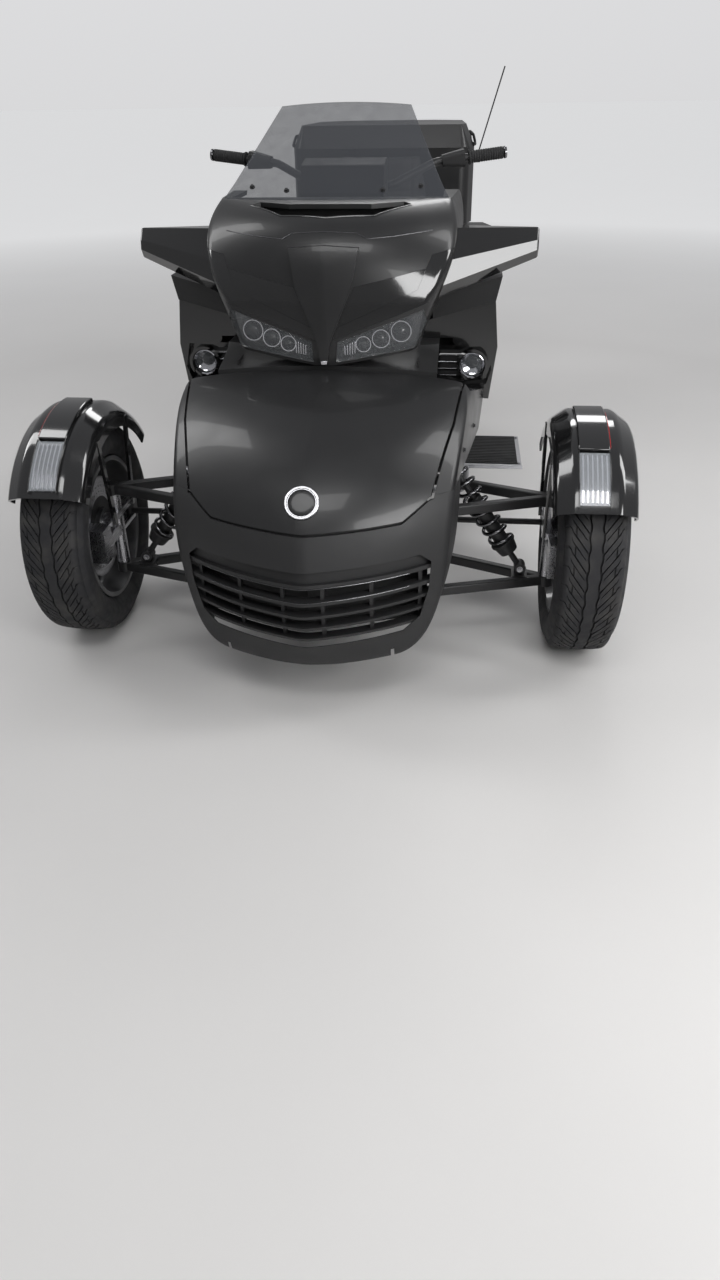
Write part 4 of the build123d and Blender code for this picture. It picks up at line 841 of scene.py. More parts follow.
# Places in one pitch, and the depth there of the long and the short diagonal groove, from 0 to 1
TREAD_ROWS = ((0.0, 0, 0), (0.02, 1, 0), (0.09, 1, 0), (0.11, 0, 0), (0.3, 0, 0), (0.47, 0, 0), (0.485, 0, 1),
              (0.545, 0, 1), (0.56, 0, 0), (0.68, 0, 0), (0.84, 0, 0), (1.0, 0, 0))


class TreadSizes(bpy.types.PropertyGroup):
    """Sizes of the tyres' tread."""

    depth: bpy.props.FloatProperty(
        name="Groove depth", description="Depth of the main grooves", unit="LENGTH", default=0.0062)
    slant: bpy.props.FloatProperty(
        name="Slant", description="Pitches that a diagonal groove runs round the tyre", default=1.35)
    wave: bpy.props.FloatProperty(
        name="Wave", description="Swing of the two middle grooves", unit="LENGTH", default=0.0022)


class TRIKE_OT_tyres(bpy.types.Operator):
    """Tyres with a directional tread, cut one pitch at a time and repeated round the wheel"""

    bl_idname = "trike.tyres"
    bl_label = "Tyres"

    def execute(self, context):
        sizes = context.scene.trike_tread
        for corner, (body, half, radius, pitches, _, _) in WHEELS.items():
            node = "rear_tyre" if corner == "rear" else f"front_tyre_{corner}"
            data = self.pitch(half, radius, pitches, sizes)
            values = {"Count": pitches, "Centre": middle_of(node)}
            grow(f"tread_tyre_{corner}", data, ring_tree, values, f"tyre_{corner}",
                 replaces=(node,), smooth=38.0, body=body)
        return {"FINISHED"}

    def profile(self, half, radius):
        """Half of the tyre's section from the middle of the tread to the bead, as (x, r, tread share)."""
        shoulder, edge, corner = (half - 12, radius - 22), (half - 26, radius - 4), (half - 16, radius - 9)
        swell, bead = (half, (radius + 190) / 2), (half - 20, BEAD_R)
        crown = arc_through((-edge[0], edge[1]), (0, radius), edge, 40)
        reach = {round(point.x, 3): point.y for point in crown}
        marks = (0, 7, 12.4, 13.0, 16.6, 17.2, 21, 27, 33, 39, 45, 45.7, 47.5, 48.2, 53, edge[0])
        scale = (half - 26) / 56.5
        line = []
        for mark in marks:
            x = min(mark * scale, edge[0])
            below = max(key for key in reach if key <= x + 0.001)
            above = min((key for key in reach if key > x + 0.001), default=None)
            r = reach[below]
            if above is not None:
                r += (reach[above] - r) * (x - below) / (above - below)
            line.append((x, r, mark))
        line[-1] = (*edge, 60)
        line += [(point.x, point.y, 64) for point in arc_through(edge, corner, shoulder, 5)[1:]]
        wall = arc_through(shoulder, swell, bead, 18)
        for k, point in enumerate(wall):
            line.append((point.x + (0.9 if k in (3, 4, 14, 15) else 0.0), point.y, 70))
        return line + [(*bead, 70), (0.55 * bead[0], BEAD_R, 70)]

    def pitch(self, half, radius, pitches, sizes):
        """One pitch of the tyre about the wheel's axis."""
        line = self.profile(half, radius)
        section = [(-x, r, m) for x, r, m in reversed(line[1:])] + line
        step = math.tau / pitches
        verts = []
        for along, long_cut, short_cut in TREAD_ROWS:
            for x, r, mark in section:
                cut = 0.0
                if 12.9 < mark < 16.7:
                    cut = 1.0
                elif 16.9 < mark <= 64:
                    cut = long_cut * (1.0 if mark < 59 else 0.75 if mark < 63 else 0.35)
                    if 26 < mark < 54:
                        cut = max(cut, 0.8 * short_cut)
                if 45.5 < mark < 47.6 and along > 0.56:
                    cut = max(cut, 0.55)
                slant = sizes.slant * max(0.0, min(mark, 64) - 17) / 47 * step
                swing = sizes.wave * 1000 * math.sin(math.tau * along) * max(0.0, 1 - abs(mark - 15) / 14)
                side = math.copysign(1.0, x) if x else 0.0
                angle = along * step - slant
                reach = (r - cut * sizes.depth * 1000) * MM
                verts.append(((x + side * swing) * MM, -reach * math.cos(angle), -reach * math.sin(angle)))
        wide = len(section)
        faces = []
        for row in range(len(TREAD_ROWS) - 1):
            for k in range(wide):
                after = (k + 1) % wide
                a, b = row * wide + k, row * wide + after
                faces.append((a, b, b + wide, a + wide))
        data = bpy.data.meshes.new("pitch")
        data.from_pydata(verts, [], faces)
        mesh = bmesh.new()
        mesh.from_mesh(data)
        bmesh.ops.recalc_face_normals(mesh, faces=mesh.faces)
        middle = max(mesh.faces, key=lambda face: face.calc_center_median().yz.length)
        if middle.normal.yz.dot(middle.calc_center_median().yz) < 0:
            bmesh.ops.reverse_faces(mesh, faces=mesh.faces)
        mesh.to_mesh(data)
        mesh.free()
        return data


class TRIKE_OT_wheels(bpy.types.Operator):
    """Cast rims with twin spokes, hub bolts and valves, and slotted brake rotors"""

    bl_idname = "trike.wheels"
    bl_label = "Wheels and brakes"

    def execute(self, context):
        for corner, (body, _, _, _, half, spokes) in WHEELS.items():
            rear = corner == "rear"
            place = middle_of("rear_tyre" if rear else f"front_tyre_{corner}")
            out = -1 if corner == "right" else 1
            self.rim(corner, body, place, out, half, spokes, rear)
            if not rear:
                self.rotor(corner, body, place, out)
        return {"FINISHED"}

    def rim(self, corner, body, place, out, half, spokes, rear):
        """One rim: barrel, hub and lips turned, spokes and bolts repeated."""
        node = "rear_rim" if rear else f"front_rim_{corner}"
        axis = (out, 0, 0)
        hub_in, hub_out = (-100, 60) if rear else (-46, 36)
        barrel = [(178, half), (190, half), (190, half - 6), (182, half - 20), (174, 0), (182, 20 - half),
                  (190, 6 - half), (190, -half), (178, -half), (172, 20 - half), (166, 0), (172, half - 20)]
        hub = [(14, hub_in), (52, hub_in), (52, hub_out - 14), (46, hub_out - 4), (38, hub_out),
               (14, hub_out)]
        cap = [(0, hub_out - 6), (30, hub_out - 6), (30, hub_out + 1), (24, hub_out + 4), (0, hub_out + 6)]
        shape = Shape().lathe(barrel, place, axis, 96)
        if rear:
            shape.lathe([(14, 100), (40, 100), (40, 58), (14, 58)], place, axis, 48)
            shape.lathe([(30, 117), (105, 117), (105, 119), (108, 119), (108, 117.5), (108, 137), (105, 137),
                         (96, 131), (40, 131), (30, 137)], place, axis, 72)
        shape.lathe(hub, place, axis, 48)
        shape.piece(f"rim_barrel_{corner}", "rim_paint", replaces=(node,), bevel=0.8, body=body)
        # Sections of a spoke from the hub out: share of its lean, radius, width, thickness, face
        stations = ((0.0, 44, 34, 40, hub_out - 4), (0.3, 80, 26, 30, hub_out - 2),
                    (0.65, 125, 20, 26, hub_out + 4), (0.95, 166, 26, 30, half - 26),
                    (1.0, 176, 34, 34, half - 26))
        spoke = Shape()
        for lean in (-0.16, 0.16):
            sections = []
            for t, r, wide, thick, top in stations:
                angle = lean * (0.25 + 0.75 * t)
                w = wide / 2
                ring = ((-w, top - thick), (w, top - thick), (w, top - 7), (w - 5, top), (5 - w, top),
                        (-w, top - 7))
                sections.append([
                    Vector((out * u, v + r * math.sin(angle), r * math.cos(angle))) * MM for v, u in ring])
            spoke.loft(sections)
        values = {"Count": spokes, "Centre": place}
        grow(f"rim_spokes_{corner}", spoke.data("spoke"), ring_tree, values, "rim_paint", bevel=1.2,
             body=body)
        turned(f"hub_cap_{corner}", cap, place, axis, "dark_chrome", 40, body=body)
        screws(f"hub_bolts_{corner}", bolt_ring(place, out, hub_out, 41, spokes, 0.3), 4.2, body=body)
        foot = place + Vector((out * (half - 30) * MM, 0, -0.170))
        valve = Shape().rod(foot, foot + Vector((out * 0.008, 0, 0.03)), 3.4, 2.6, 12)
        valve.piece(f"valve_{corner}", "rubber", body=body)

    def rotor(self, corner, body, place, out):
        """Brake rotor in segments with two rows of slots, on a dark carrier."""
        node = f"front_disc_{corner}"
        centre = Vector((middle_of(node).x, place.y, place.z))
        segment = Shape()
        step = math.tau / 36
        whole, slotted = ((-0.5, 0.5),), ((-0.5, -0.12), (0.12, 0.5))
        for r0, r1, spans in ((82, 92, whole), (92, 97, slotted), (97, 107, whole), (107, 112, slotted),
                              (112, 135, whole)):
            for start, end in spans:
                middle = (start + end) / 2
                ring = ((r0, start), (r1, start), (r1, middle), (r1, end), (r0, end), (r0, middle))
                outline = [(r * math.sin(a * step), r * math.cos(a * step)) for r, a in ring]
                segment.prism(outline, SIDEWAYS, -3, 3)
        grow(f"rotor_{corner}", segment.data("segment"), ring_tree, {"Count": 36, "Centre": centre},
             f"disc_{corner}", replaces=(node,), body=body)
        turned(f"rotor_carrier_{corner}", [(53, -4), (84, -2), (84, 2), (53, 4)], centre, (out, 0, 0),
               "frame_black", 48, body=body)
        screws(f"rotor_buttons_{corner}", bolt_ring(centre, out, 3, 83, 8), 4.4, body=body)


class TRIKE_OT_suspension(bpy.types.Operator):
    """Front dampers with real coil springs, and the bolts of the arms"""

    bl_idname = "trike.suspension"
    bl_label = "Front suspension"

    def execute(self, context):
        for side, out in SIDES.items():
            low, high = at(out * 506, 8, 197), at(out * 272, 8, 540)
            run = high - low
            shape = Shape().rod(low, high, 8)
            for start, end, near, far in ((0.13, 0.2, 24, 30), (0.2, 0.215, 33, 33), (0.2, 0.56, 19, 19),
                                          (0.86, 0.88, 33, 33), (0.88, 0.93, 28, 16)):
                shape.rod(low + run * start, low + run * end, near, far, 32)
            for end in (low, high):
                shape.rod(end - Vector((0, 0.018, 0)), end + Vector((0, 0.018, 0)), 15, sides=28)
            shape.piece(f"damper_{side}", "frame_black", bevel=0.8, replaces=once(side, "front_shocks"))
            values = {"Turns": 8.5, "Radius": 0.0275, "Wire": 0.0048, "Height": run.length * 0.64,
                      "Foot": low + run * 0.216, "Run": run}
            point = bpy.data.meshes.new("point")
            grow(f"spring_{side}", point, coil_tree, values, "dark_chrome", smooth=60)
            pins = [(at(out * x, distance + end * 20.5, z), (0, end, 0))
                    for x, z in ((246, 392), (240, 172)) for distance in (-112, 132) for end in (-1, 1)]
            pins += [(low + Vector((0, end * 0.0185, 0)), (0, end, 0)) for end in (-1, 1)]
            screws(f"arm_bolts_{side}", pins, 6.0)
        return {"FINISHED"}


# Lines on the nose and fairing: (x, distance) for the hood's edge and the slot's, (x, z) for the high line
HOOD_EDGE = ((277, -250), (297, -210), (321, -120), (341, 26))
HIGH_LINE = ((-248, 998), (-163, 991), (-100, 988), (-76, 1000), (0, 1004),
             (76, 1000), (100, 988), (163, 991), (248, 998))
SLOT_EDGE = ((-196, 224), (-110, 148), (0, 126), (110, 148), (196, 224))


class TRIKE_OT_nose(bpy.types.Operator):
    """Plain round badge, seals, dark sheets of painted shade and fine trim of the nose and fairing"""

    bl_idname = "trike.nose"
    bl_label = "Nose trim"

    def execute(self, context):
        up = Vector((0, -0.75, 0.66)).normalized()
        place = meets("hood", at(-1, -381, 525) + up * 0.06, -up)
        ring = [(0, -4), (38, -4), (38, 2.2), (36.5, 3.2), (33.5, 3.2), (32, 1.4), (0, 1.4)]
        turned("badge_ring", ring, place, up, "steel", body="hood")
        turned("badge_dome", [(0, 1.2), (31, 1.2), (29.5, 2.0), (20, 2.6), (0, 3.0)], place, up,
               "satin_black", 48, body="hood")
        for side, out in SIDES.items():
            path = []
            for x, distance in spread(HOOD_EDGE, 5):
                hit = from_above("nose_side_panels", out * (x + 8), distance)
                path.append(hit and Vector((out * x * MM, hit.y, hit.z - 0.0068)))
            strip(f"hood_seal_{side}", path, 22, 3.4, "seal")
        seam = [from_front("front_fascia", x, 461 + max(0, abs(x) - 214) * 0.6 + abs(x) * 0.023)
                for x in range(-266, 267, 19)]
        seam = [hit and hit + Vector((0, 0.011, 0.002)) for hit in seam]
        strip("hood_seal_front", seam, 5, 13, "seal")
        for name, z in (("upper", 354.5), ("lower", 322.0)):
            hits = [from_front("grille", x, z, 0.4) for x in range(-232, 233, 16)]
            strip(f"grille_trim_{name}", hits, 2.4, 1.6, "dark_chrome")
        hits = [from_front("fairing", x, z, 0.3) for x, z in spread(HIGH_LINE, 6)]
        strip("high_line", hits, 2.0, 2.0, "dark_chrome")
        hits = [from_above("fairing", x, distance - 3, 0.2) for x, distance in spread(SLOT_EDGE, 6)]
        strip("air_slot_rim", hits, 3.0, 2.0, "gloss_black")
        self.shade_sheets()
        beak = from_front("fairing", 0, 726)
        block("beak_cap", beak + Vector((0, -0.001, -0.004)), (15, 5, 9), "chrome", 1.2)
        holes = [(from_front("windscreen", out * x, z), (0, -0.55, 0.83))
                 for x, z in ((120, 1072), (212, 1078)) for out in (-1, 1)]
        screws("screen_screws", holes, 5.0, "frame_black")
        panels = (("side_panels", ((470, 640), (640, 560), (1000, 520), (1370, 600), (880, 640))),
                  ("nose_side_panels", ((-120, 560), (60, 560), (200, 600))))
        holes = [(from_side(node, out, distance, z), (out, 0, 0))
                 for out in (-1, 1) for node, spots in panels for distance, z in spots]
        screws("panel_screws", holes, 4.6, "frame_black")
        return {"FINISHED"}

    def shade_sheets(self):
        """Dark sheets of painted shade behind the grille, the air slot and the nose, which also keep daylight
        out of them.
        """
        fold = [(-270, -262), (0, -366), (270, -262), (270, -256), (0, -360), (-270, -256)]
        Shape().prism(fold, top_frame(195), 0, 205).piece("grille_shade_sheet", "seal")
        deck = [from_above("fairing", x, 262, -3) for x in range(-190, 191, 19)]
        outline = [(hit.x / MM, hit.z / MM) for hit in deck if hit and hit.z > 0.98]
        Shape().prism(outline + [(180, 892), (-180, 892)], front_frame(262), 0, 5).piece(
            "air_slot_shade_sheet", "seal")
        for side, out in SIDES.items():
            block(f"nose_shade_sheet_{side}", at(out * 224, 160, 636), (4, 180, 152), "seal")


# Bowls of the headlights. Columns: x, z, radius
BOWLS = ((92, 757, 19), (134, 768, 22), (182, 783, 25))
# A marker lamp on its fender: x from and to, and angles from and to about the wheel
MARKER_X = (604, 670)
MARKER_ANGLES = (142, 120)
FENDER_Z = 281


class TRIKE_OT_lights(bpy.types.Operator):
    """Headlights, fog lamps, marker lamps and reflectors with what shows behind their lenses"""

    bl_idname = "trike.lights"
    bl_label = "Lights"

    def execute(self, context):
        skin("headlight_lenses", "headlights", lambda face: face.normal.y < -0.3, 2.2, "clear_lens",
             replaces=("headlights",))
        skin("headlight_housings", "headlights", lambda face: face.normal.y >= -0.3, 1.4, "gloss_black")
        for side, out in SIDES.items():
            self.headlight(side, out)
            self.fog_lamp(side, out)
            self.marker(side, out)
            hit = meets("top_case", at(out * 110, 3500, 960), (0, -1, 0))
            block(f"case_reflector_{side}", hit + Vector((0, 0.002, 0)), (120, 6, 24), "tail_lens", 1.5)
        return {"FINISHED"}

    def headlight(self, side, out):
        """A headlight's bright bowls, their projectors and the fins beside them."""
        bowls, domes, fins = Shape(), Shape(), Shape()
        ahead = (0, -1, 0)
        for x, z, r in BOWLS:
            mouth = from_front("headlights", out * x, z) + Vector((0, 0.014, 0))
            bowls.lathe([(r, 0), (r - 2, 0), (0.7 * r, -0.4 * r), (0.36 * r, -0.66 * r), (0, -0.72 * r),
                         (0, -0.8 * r), (0.42 * r, -0.74 * r), (0.78 * r, -0.44 * r), (r, -0.1 * r)],
                        mouth, ahead, 40)
            domes.lathe([(0, -0.7 * r), (0.42 * r, -0.62 * r), (0.42 * r, -0.3 * r), (0.34 * r, -0.08 * r),
                         (0.18 * r, 0.02 * r), (0, 0.05 * r)], mouth, ahead, 32)
        for k in range(5):
            front = from_front("headlights", out * (48 + k * 6), 738 + k * 1.6) + Vector((0, 0.024, 0.006))
            fins.box(front, (2.2, 26, 22 + k * 2))
        bowls.piece(f"headlight_bowls_{side}", "chrome")
        domes.piece(f"headlight_projectors_{side}", "screen_glass")
        fins.piece(f"headlight_fins_{side}", "chrome", bevel=0.4)

    def fog_lamp(self, side, out):
        """A fog lamp's cup, bright ring and domed lens, and the bright edges of the fins beside it."""
        low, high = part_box("fog_lamps")
        place = Vector((out * 0.359, low.y, (low.z + high.z) / 2))
        cup = [(33.8, -28), (33.8, 1.5), (31, 3), (28.6, 0.5), (27, -12), (12, -22), (0, -23), (0, -28)]
        dome = [(0, 2.5), (16, 0.6), (27.6, -4), (27.6, -6), (16, -1.6), (0, 0.4)]
        bulb = [(0, -20), (9, -20), (9, -12), (6, -9), (0, -8)]
        for name, line, steps, finish in (("cup", cup, 56, "chrome"), ("lens", dome, 48, "clear_lens"),
                                          ("bulb", bulb, 32, "screen_glass")):
            turned(f"fog_{name}_{side}", line, place, (0, -1, 0), finish, steps,
                   replaces=once(side, "fog_lamps") if name == "cup" else ())
        for k, z in enumerate((632, 650, 668, 686)):
            path = [from_front("fog_pods", out * x, z, 0.3) for x in range(246, 326, 8)]
            path = [hit for hit in path if hit and hit.y < place.y + 0.03]
            if len(path) > 2:
                strip(f"fog_fin_edge_{side}_{k}", path, 1.8, 1.8, "chrome")

    def marker(self, side, out):
        """A fender's marker lamp: ribs and back plate behind the clear lens, frame, spine and red strip."""
        body = f"knuckle_{side}"

        def band(low_r, high_r, angles, x0, x1):
            """A curved band over the fender, between two radii, two angles and two places across."""
            steps = 14
            turn = [math.radians(angles[0] + (angles[1] - angles[0]) * k / steps) for k in range(steps + 1)]
            line = [(low_r, a) for a in turn] + [(high_r, a) for a in reversed(turn)]
            outline = [(r * math.cos(a), FENDER_Z + r * math.sin(a)) for r, a in line]
            return Shape().prism(outline, side_frame(0), min(out * x0, out * x1), max(out * x0, out * x1))

        low, high = MARKER_X
        rib = band(333.5, 340.2, (141, 121), low + 5, low + 8.4).data("rib")
        grow(f"marker_ribs_{side}", rib, row_tree, {"Count": 6, "Step": (out * 0.0106, 0, 0)}, "chrome",
             body=body)
        for name, low_r, high_r, angles, x0, x1, finish, bevel in (
                (f"plate_{side}", 332.4, 334, MARKER_ANGLES, low + 1, high - 1, "dark_chrome", 0),
                (f"frame_{side}_0", 331, 342.6, (143, 119), low - 2.6, low - 0.3, "gloss_black", 0.7),
                (f"frame_{side}_1", 331, 342.6, (143, 119), high + 0.3, high + 2.6, "gloss_black", 0.7),
                (f"spine_{side}", 330.5, 343.5, (118.6, 84), low - 2.6, high + 2.6, "gloss_black", 3.0),
                (f"strip_{side}", 334, 341.5, (117, 92), high + 2.5, high + 4.4, "tail_lens", 0.5)):
            band(low_r, high_r, angles, x0, x1).piece(f"marker_{name}", finish, bevel=bevel, body=body)


class TRIKE_OT_controls(bpy.types.Operator):
    """Ribbed grips, switches, the dash screen and its buttons"""

    bl_idname = "trike.controls"
    bl_label = "Controls"

    def execute(self, context):
        for side, out in SIDES.items():
            start, end = at(out * 320, 812, 1111), at(out * 429, 829, 1123)
            run = (end - start).normalized()
            line = [(11.5, 8), (19.5, 8), (19.5, 12), (16.2, 13)]
            for u in range(15, 100, 7):
                line += [(15.2, u), (16.5, u + 1.2), (16.5, u + 4.6), (15.2, u + 5.8)]
            line += [(16.5, 107), (11.5, 107)]
            turned(f"grip_{side}", line, start, run, "rubber", 48, smooth=50,
                   replaces=once(side, "grips"), body="handlebar")
            far = (end - start).length / MM
            tip = [(0, far), (15.5, far), (16.5, far + 1.5), (15.5, far + 7), (9, far + 8), (0, far + 8)]
            turned(f"grip_end_{side}", tip, start, run, "dark_chrome", 40, body="handlebar")
            rearward = run.cross(Vector((0, 0, 1))).normalized()
            rearward *= math.copysign(1.0, rearward.y)
            turn = run.to_track_quat("X", "Z").to_matrix().to_4x4()
            for k, (u, lift, wide) in enumerate(((16, 12, 16), (16, -6, 12), (36, 8, 10), (36, -6, 10))):
                place = start - run * (u * MM) + rearward * ((24.5 - 0.16 * u) * MM)
                block(f"switch_{side}_{k}", place + Vector((0, 0, lift * MM)), (wide, 7, 9),
                      "rubber" if k % 2 else "satin_black", 1.6, turn, body="handlebar")
        tilt = Vector((0, 0.09, 0.04)).normalized()
        turn = tilt.to_track_quat("Z", "Y").to_matrix().to_4x4()
        middle = at(0, 581, 1083)
        block("dash_bezel", middle, (190, 84, 8), "gloss_black", 3.5, turn)
        block("dash_screen", middle + tilt * 0.0042, (172, 66, 1.6), "screen_glass", 0.6, turn)
        for k in range(4):
            block(f"dash_button_{k}", at(-54 + 36 * k, 588, 1021), (24, 10, 12), "rubber", 2.0)
        return {"FINISHED"}


class TRIKE_OT_luggage(bpy.types.Operator):
    """Latches, seals, handles and reflectors of the bags and the top case"""

    bl_idname = "trike.luggage"
    bl_label = "Luggage fittings"

    def execute(self, context):
        for side, out in SIDES.items():
            body = f"saddlebag_lid_{side}"
            for k, distance in enumerate((1640, 1940)):
                hit = from_side(body, out, distance, 735)
                block(f"bag_latch_{side}_{k}", hit + Vector((out * 0.003, 0, 0)), (9, 44, 62), "gloss_black",
                      2.5, body=body)
                block(f"bag_latch_key_{side}_{k}", hit + Vector((out * 0.0085, 0, -0.012)), (5, 34, 22),
                      "dark_chrome", 1.5, body=body)
            line = [(1500, 520), (1500, 740), (1560, 766), (2020, 772), (2092, 700), (2080, 560)]
            hits = [from_side(body, out, d, z, -0.3) for d, z in spread(line, 6)]
            strip(f"bag_swage_{side}", hits, 5, 3, "gloss_black", (1, 0, 0), body=body)
            hit = from_side(body, out, 2040, 640)
            block(f"bag_reflector_{side}", hit + Vector((out * 0.001, 0, 0)), (5, 26, 70), "amber_lens", 1.2,
                  body=body)
            rail = spread([(1790, 1080), (1830, 1128), (2150, 1128), (2200, 1080)], 6)
            hits = [from_side("top_case_lid", out, d, max(z, 1100)) for d, z in rail]
            path = [hit + Vector((out * (0.002 + 0.012 * math.sin(math.pi * k / (len(hits) - 1))), 0, 0))
                    for k, hit in enumerate(hits)]
            strip(f"case_grab_{side}", path, 9, 14, "frame_black", body="top_case_lid")
        outline = [(-322, 1706), (-346, 1800), (-327, 2246), (-190, 2350)]
        outline += [(-x, d) for x, d in reversed(outline)]
        ring = [at(x, d, 1092.2) for x, d in spread([*outline, outline[0]], 8)]
        strip("case_seal", ring, 7, 3.4, "seal")
        hit = meets("top_case_lid", at(0, 3500, 1120), (0, -1, 0))
        block("case_latch", hit + Vector((0, 0.004, 0)), (90, 12, 40), "gloss_black", 3, body="top_case_lid")
        block("case_latch_key", hit + Vector((0, 0.011, -0.006)), (70, 6, 16), "dark_chrome", 1.5,
              body="top_case_lid")
        return {"FINISHED"}


class TRIKE_OT_engine(bpy.types.Operator):
    """Covers, fins and bolts of the engine, and the exhaust's clamps and slots"""

    bl_idname = "trike.engine"
    bl_label = "Engine"

    def execute(self, context):
        for side, out in SIDES.items():
            face = out * 125
            covers = Shape()
            bolts = []
            for distance, z, r in ((960, 330, 92), (740, 320, 74)):
                place = at(face, distance, z)
                covers.lathe([(0, -2), (r, -2), (r, 8), (r - 5, 12), (r - 16, 13), (r - 24, 19),
                              (0.4 * r, 21), (0.36 * r, 17), (0, 17)], place, (out, 0, 0), 64)
                bolts += bolt_ring(place, out, 12, r - 9, 9)
            covers.piece(f"engine_covers_{side}", "engine_metal", bevel=0.8)
            screws(f"engine_bolts_{side}", bolts, 4.0)
            fin = Shape().box(at(face + out * 4, 700, 452), (12, 270, 3.4))
            grow(f"engine_fins_{side}", fin.data("fin"), row_tree, {"Count": 9, "Step": (0, 0, 0.0125)},
                 "engine_metal", bevel=0.8)
            block(f"airbox_{side}", at(face + out * 5, 960, 500), (14, 200, 118), "textured_black", 8)
            bolts = [(at(face + out * 12, 960 + a * 88, 500 + b * 48), (out, 0, 0))
                     for a in (-1, 1) for b in (-1, 1)]
            screws(f"airbox_bolts_{side}", bolts, 4.0)
        start = at(-292, 1236, 329)
        run = Vector((0, 1, 0.06)).normalized()
        for k, u in enumerate((84, 300, 520)):
            turned(f"silencer_band_{k}", [(66.2, u), (68.6, u), (68.6, u + 16), (66.2, u + 16)], start, run,
                   "frame_black", bevel=0.6)
        turned("silencer_tip", [(37, 540), (51, 553), (51.5, 558), (44, 562), (37, 560)], start, run,
               "chrome", 56, smooth=40)
        slots = Shape()
        for angle in (2.35, 2.62, 2.9):
            middle = start + run * 0.14 + Vector((-math.sin(angle) * 0.0672, 0, (angle - 2.62) * 0.06))
            slots.box(middle, (2.6, 16, 5))
        grow("silencer_slots", slots.data("slot"), row_tree, {"Count": 7, "Step": run * 0.024}, "seal",
             bevel=0.6)
        return {"FINISHED"}


# Cushions. Columns: half width, top line of (distance, z), underside, width of the front as a share
CUSHIONS = {
    "rider_seat": (172, ((1004, 712), (1060, 692), (1180, 676), (1270, 696), (1326, 766)), 643, 0.62),
    "passenger_seat": (157, ((1346, 776), (1400, 798), (1500, 797), (1600, 796), (1628, 778)), 643, 1.0),
}


class CushionSizes(bpy.types.PropertyGroup):
    """Sizes of the padded seats."""

    voxel: bpy.props.FloatProperty(
        name="Mesh size", description="Face size of a cushion's cover", unit="LENGTH", default=0.006)
    swell: bpy.props.FloatProperty(
        name="Swell", description="How far a cover may blow up", unit="LENGTH", default=0.009)
    seam: bpy.props.FloatProperty(
        name="Seam depth", description="How deep a seam draws the cover in", unit="LENGTH", default=0.0042)


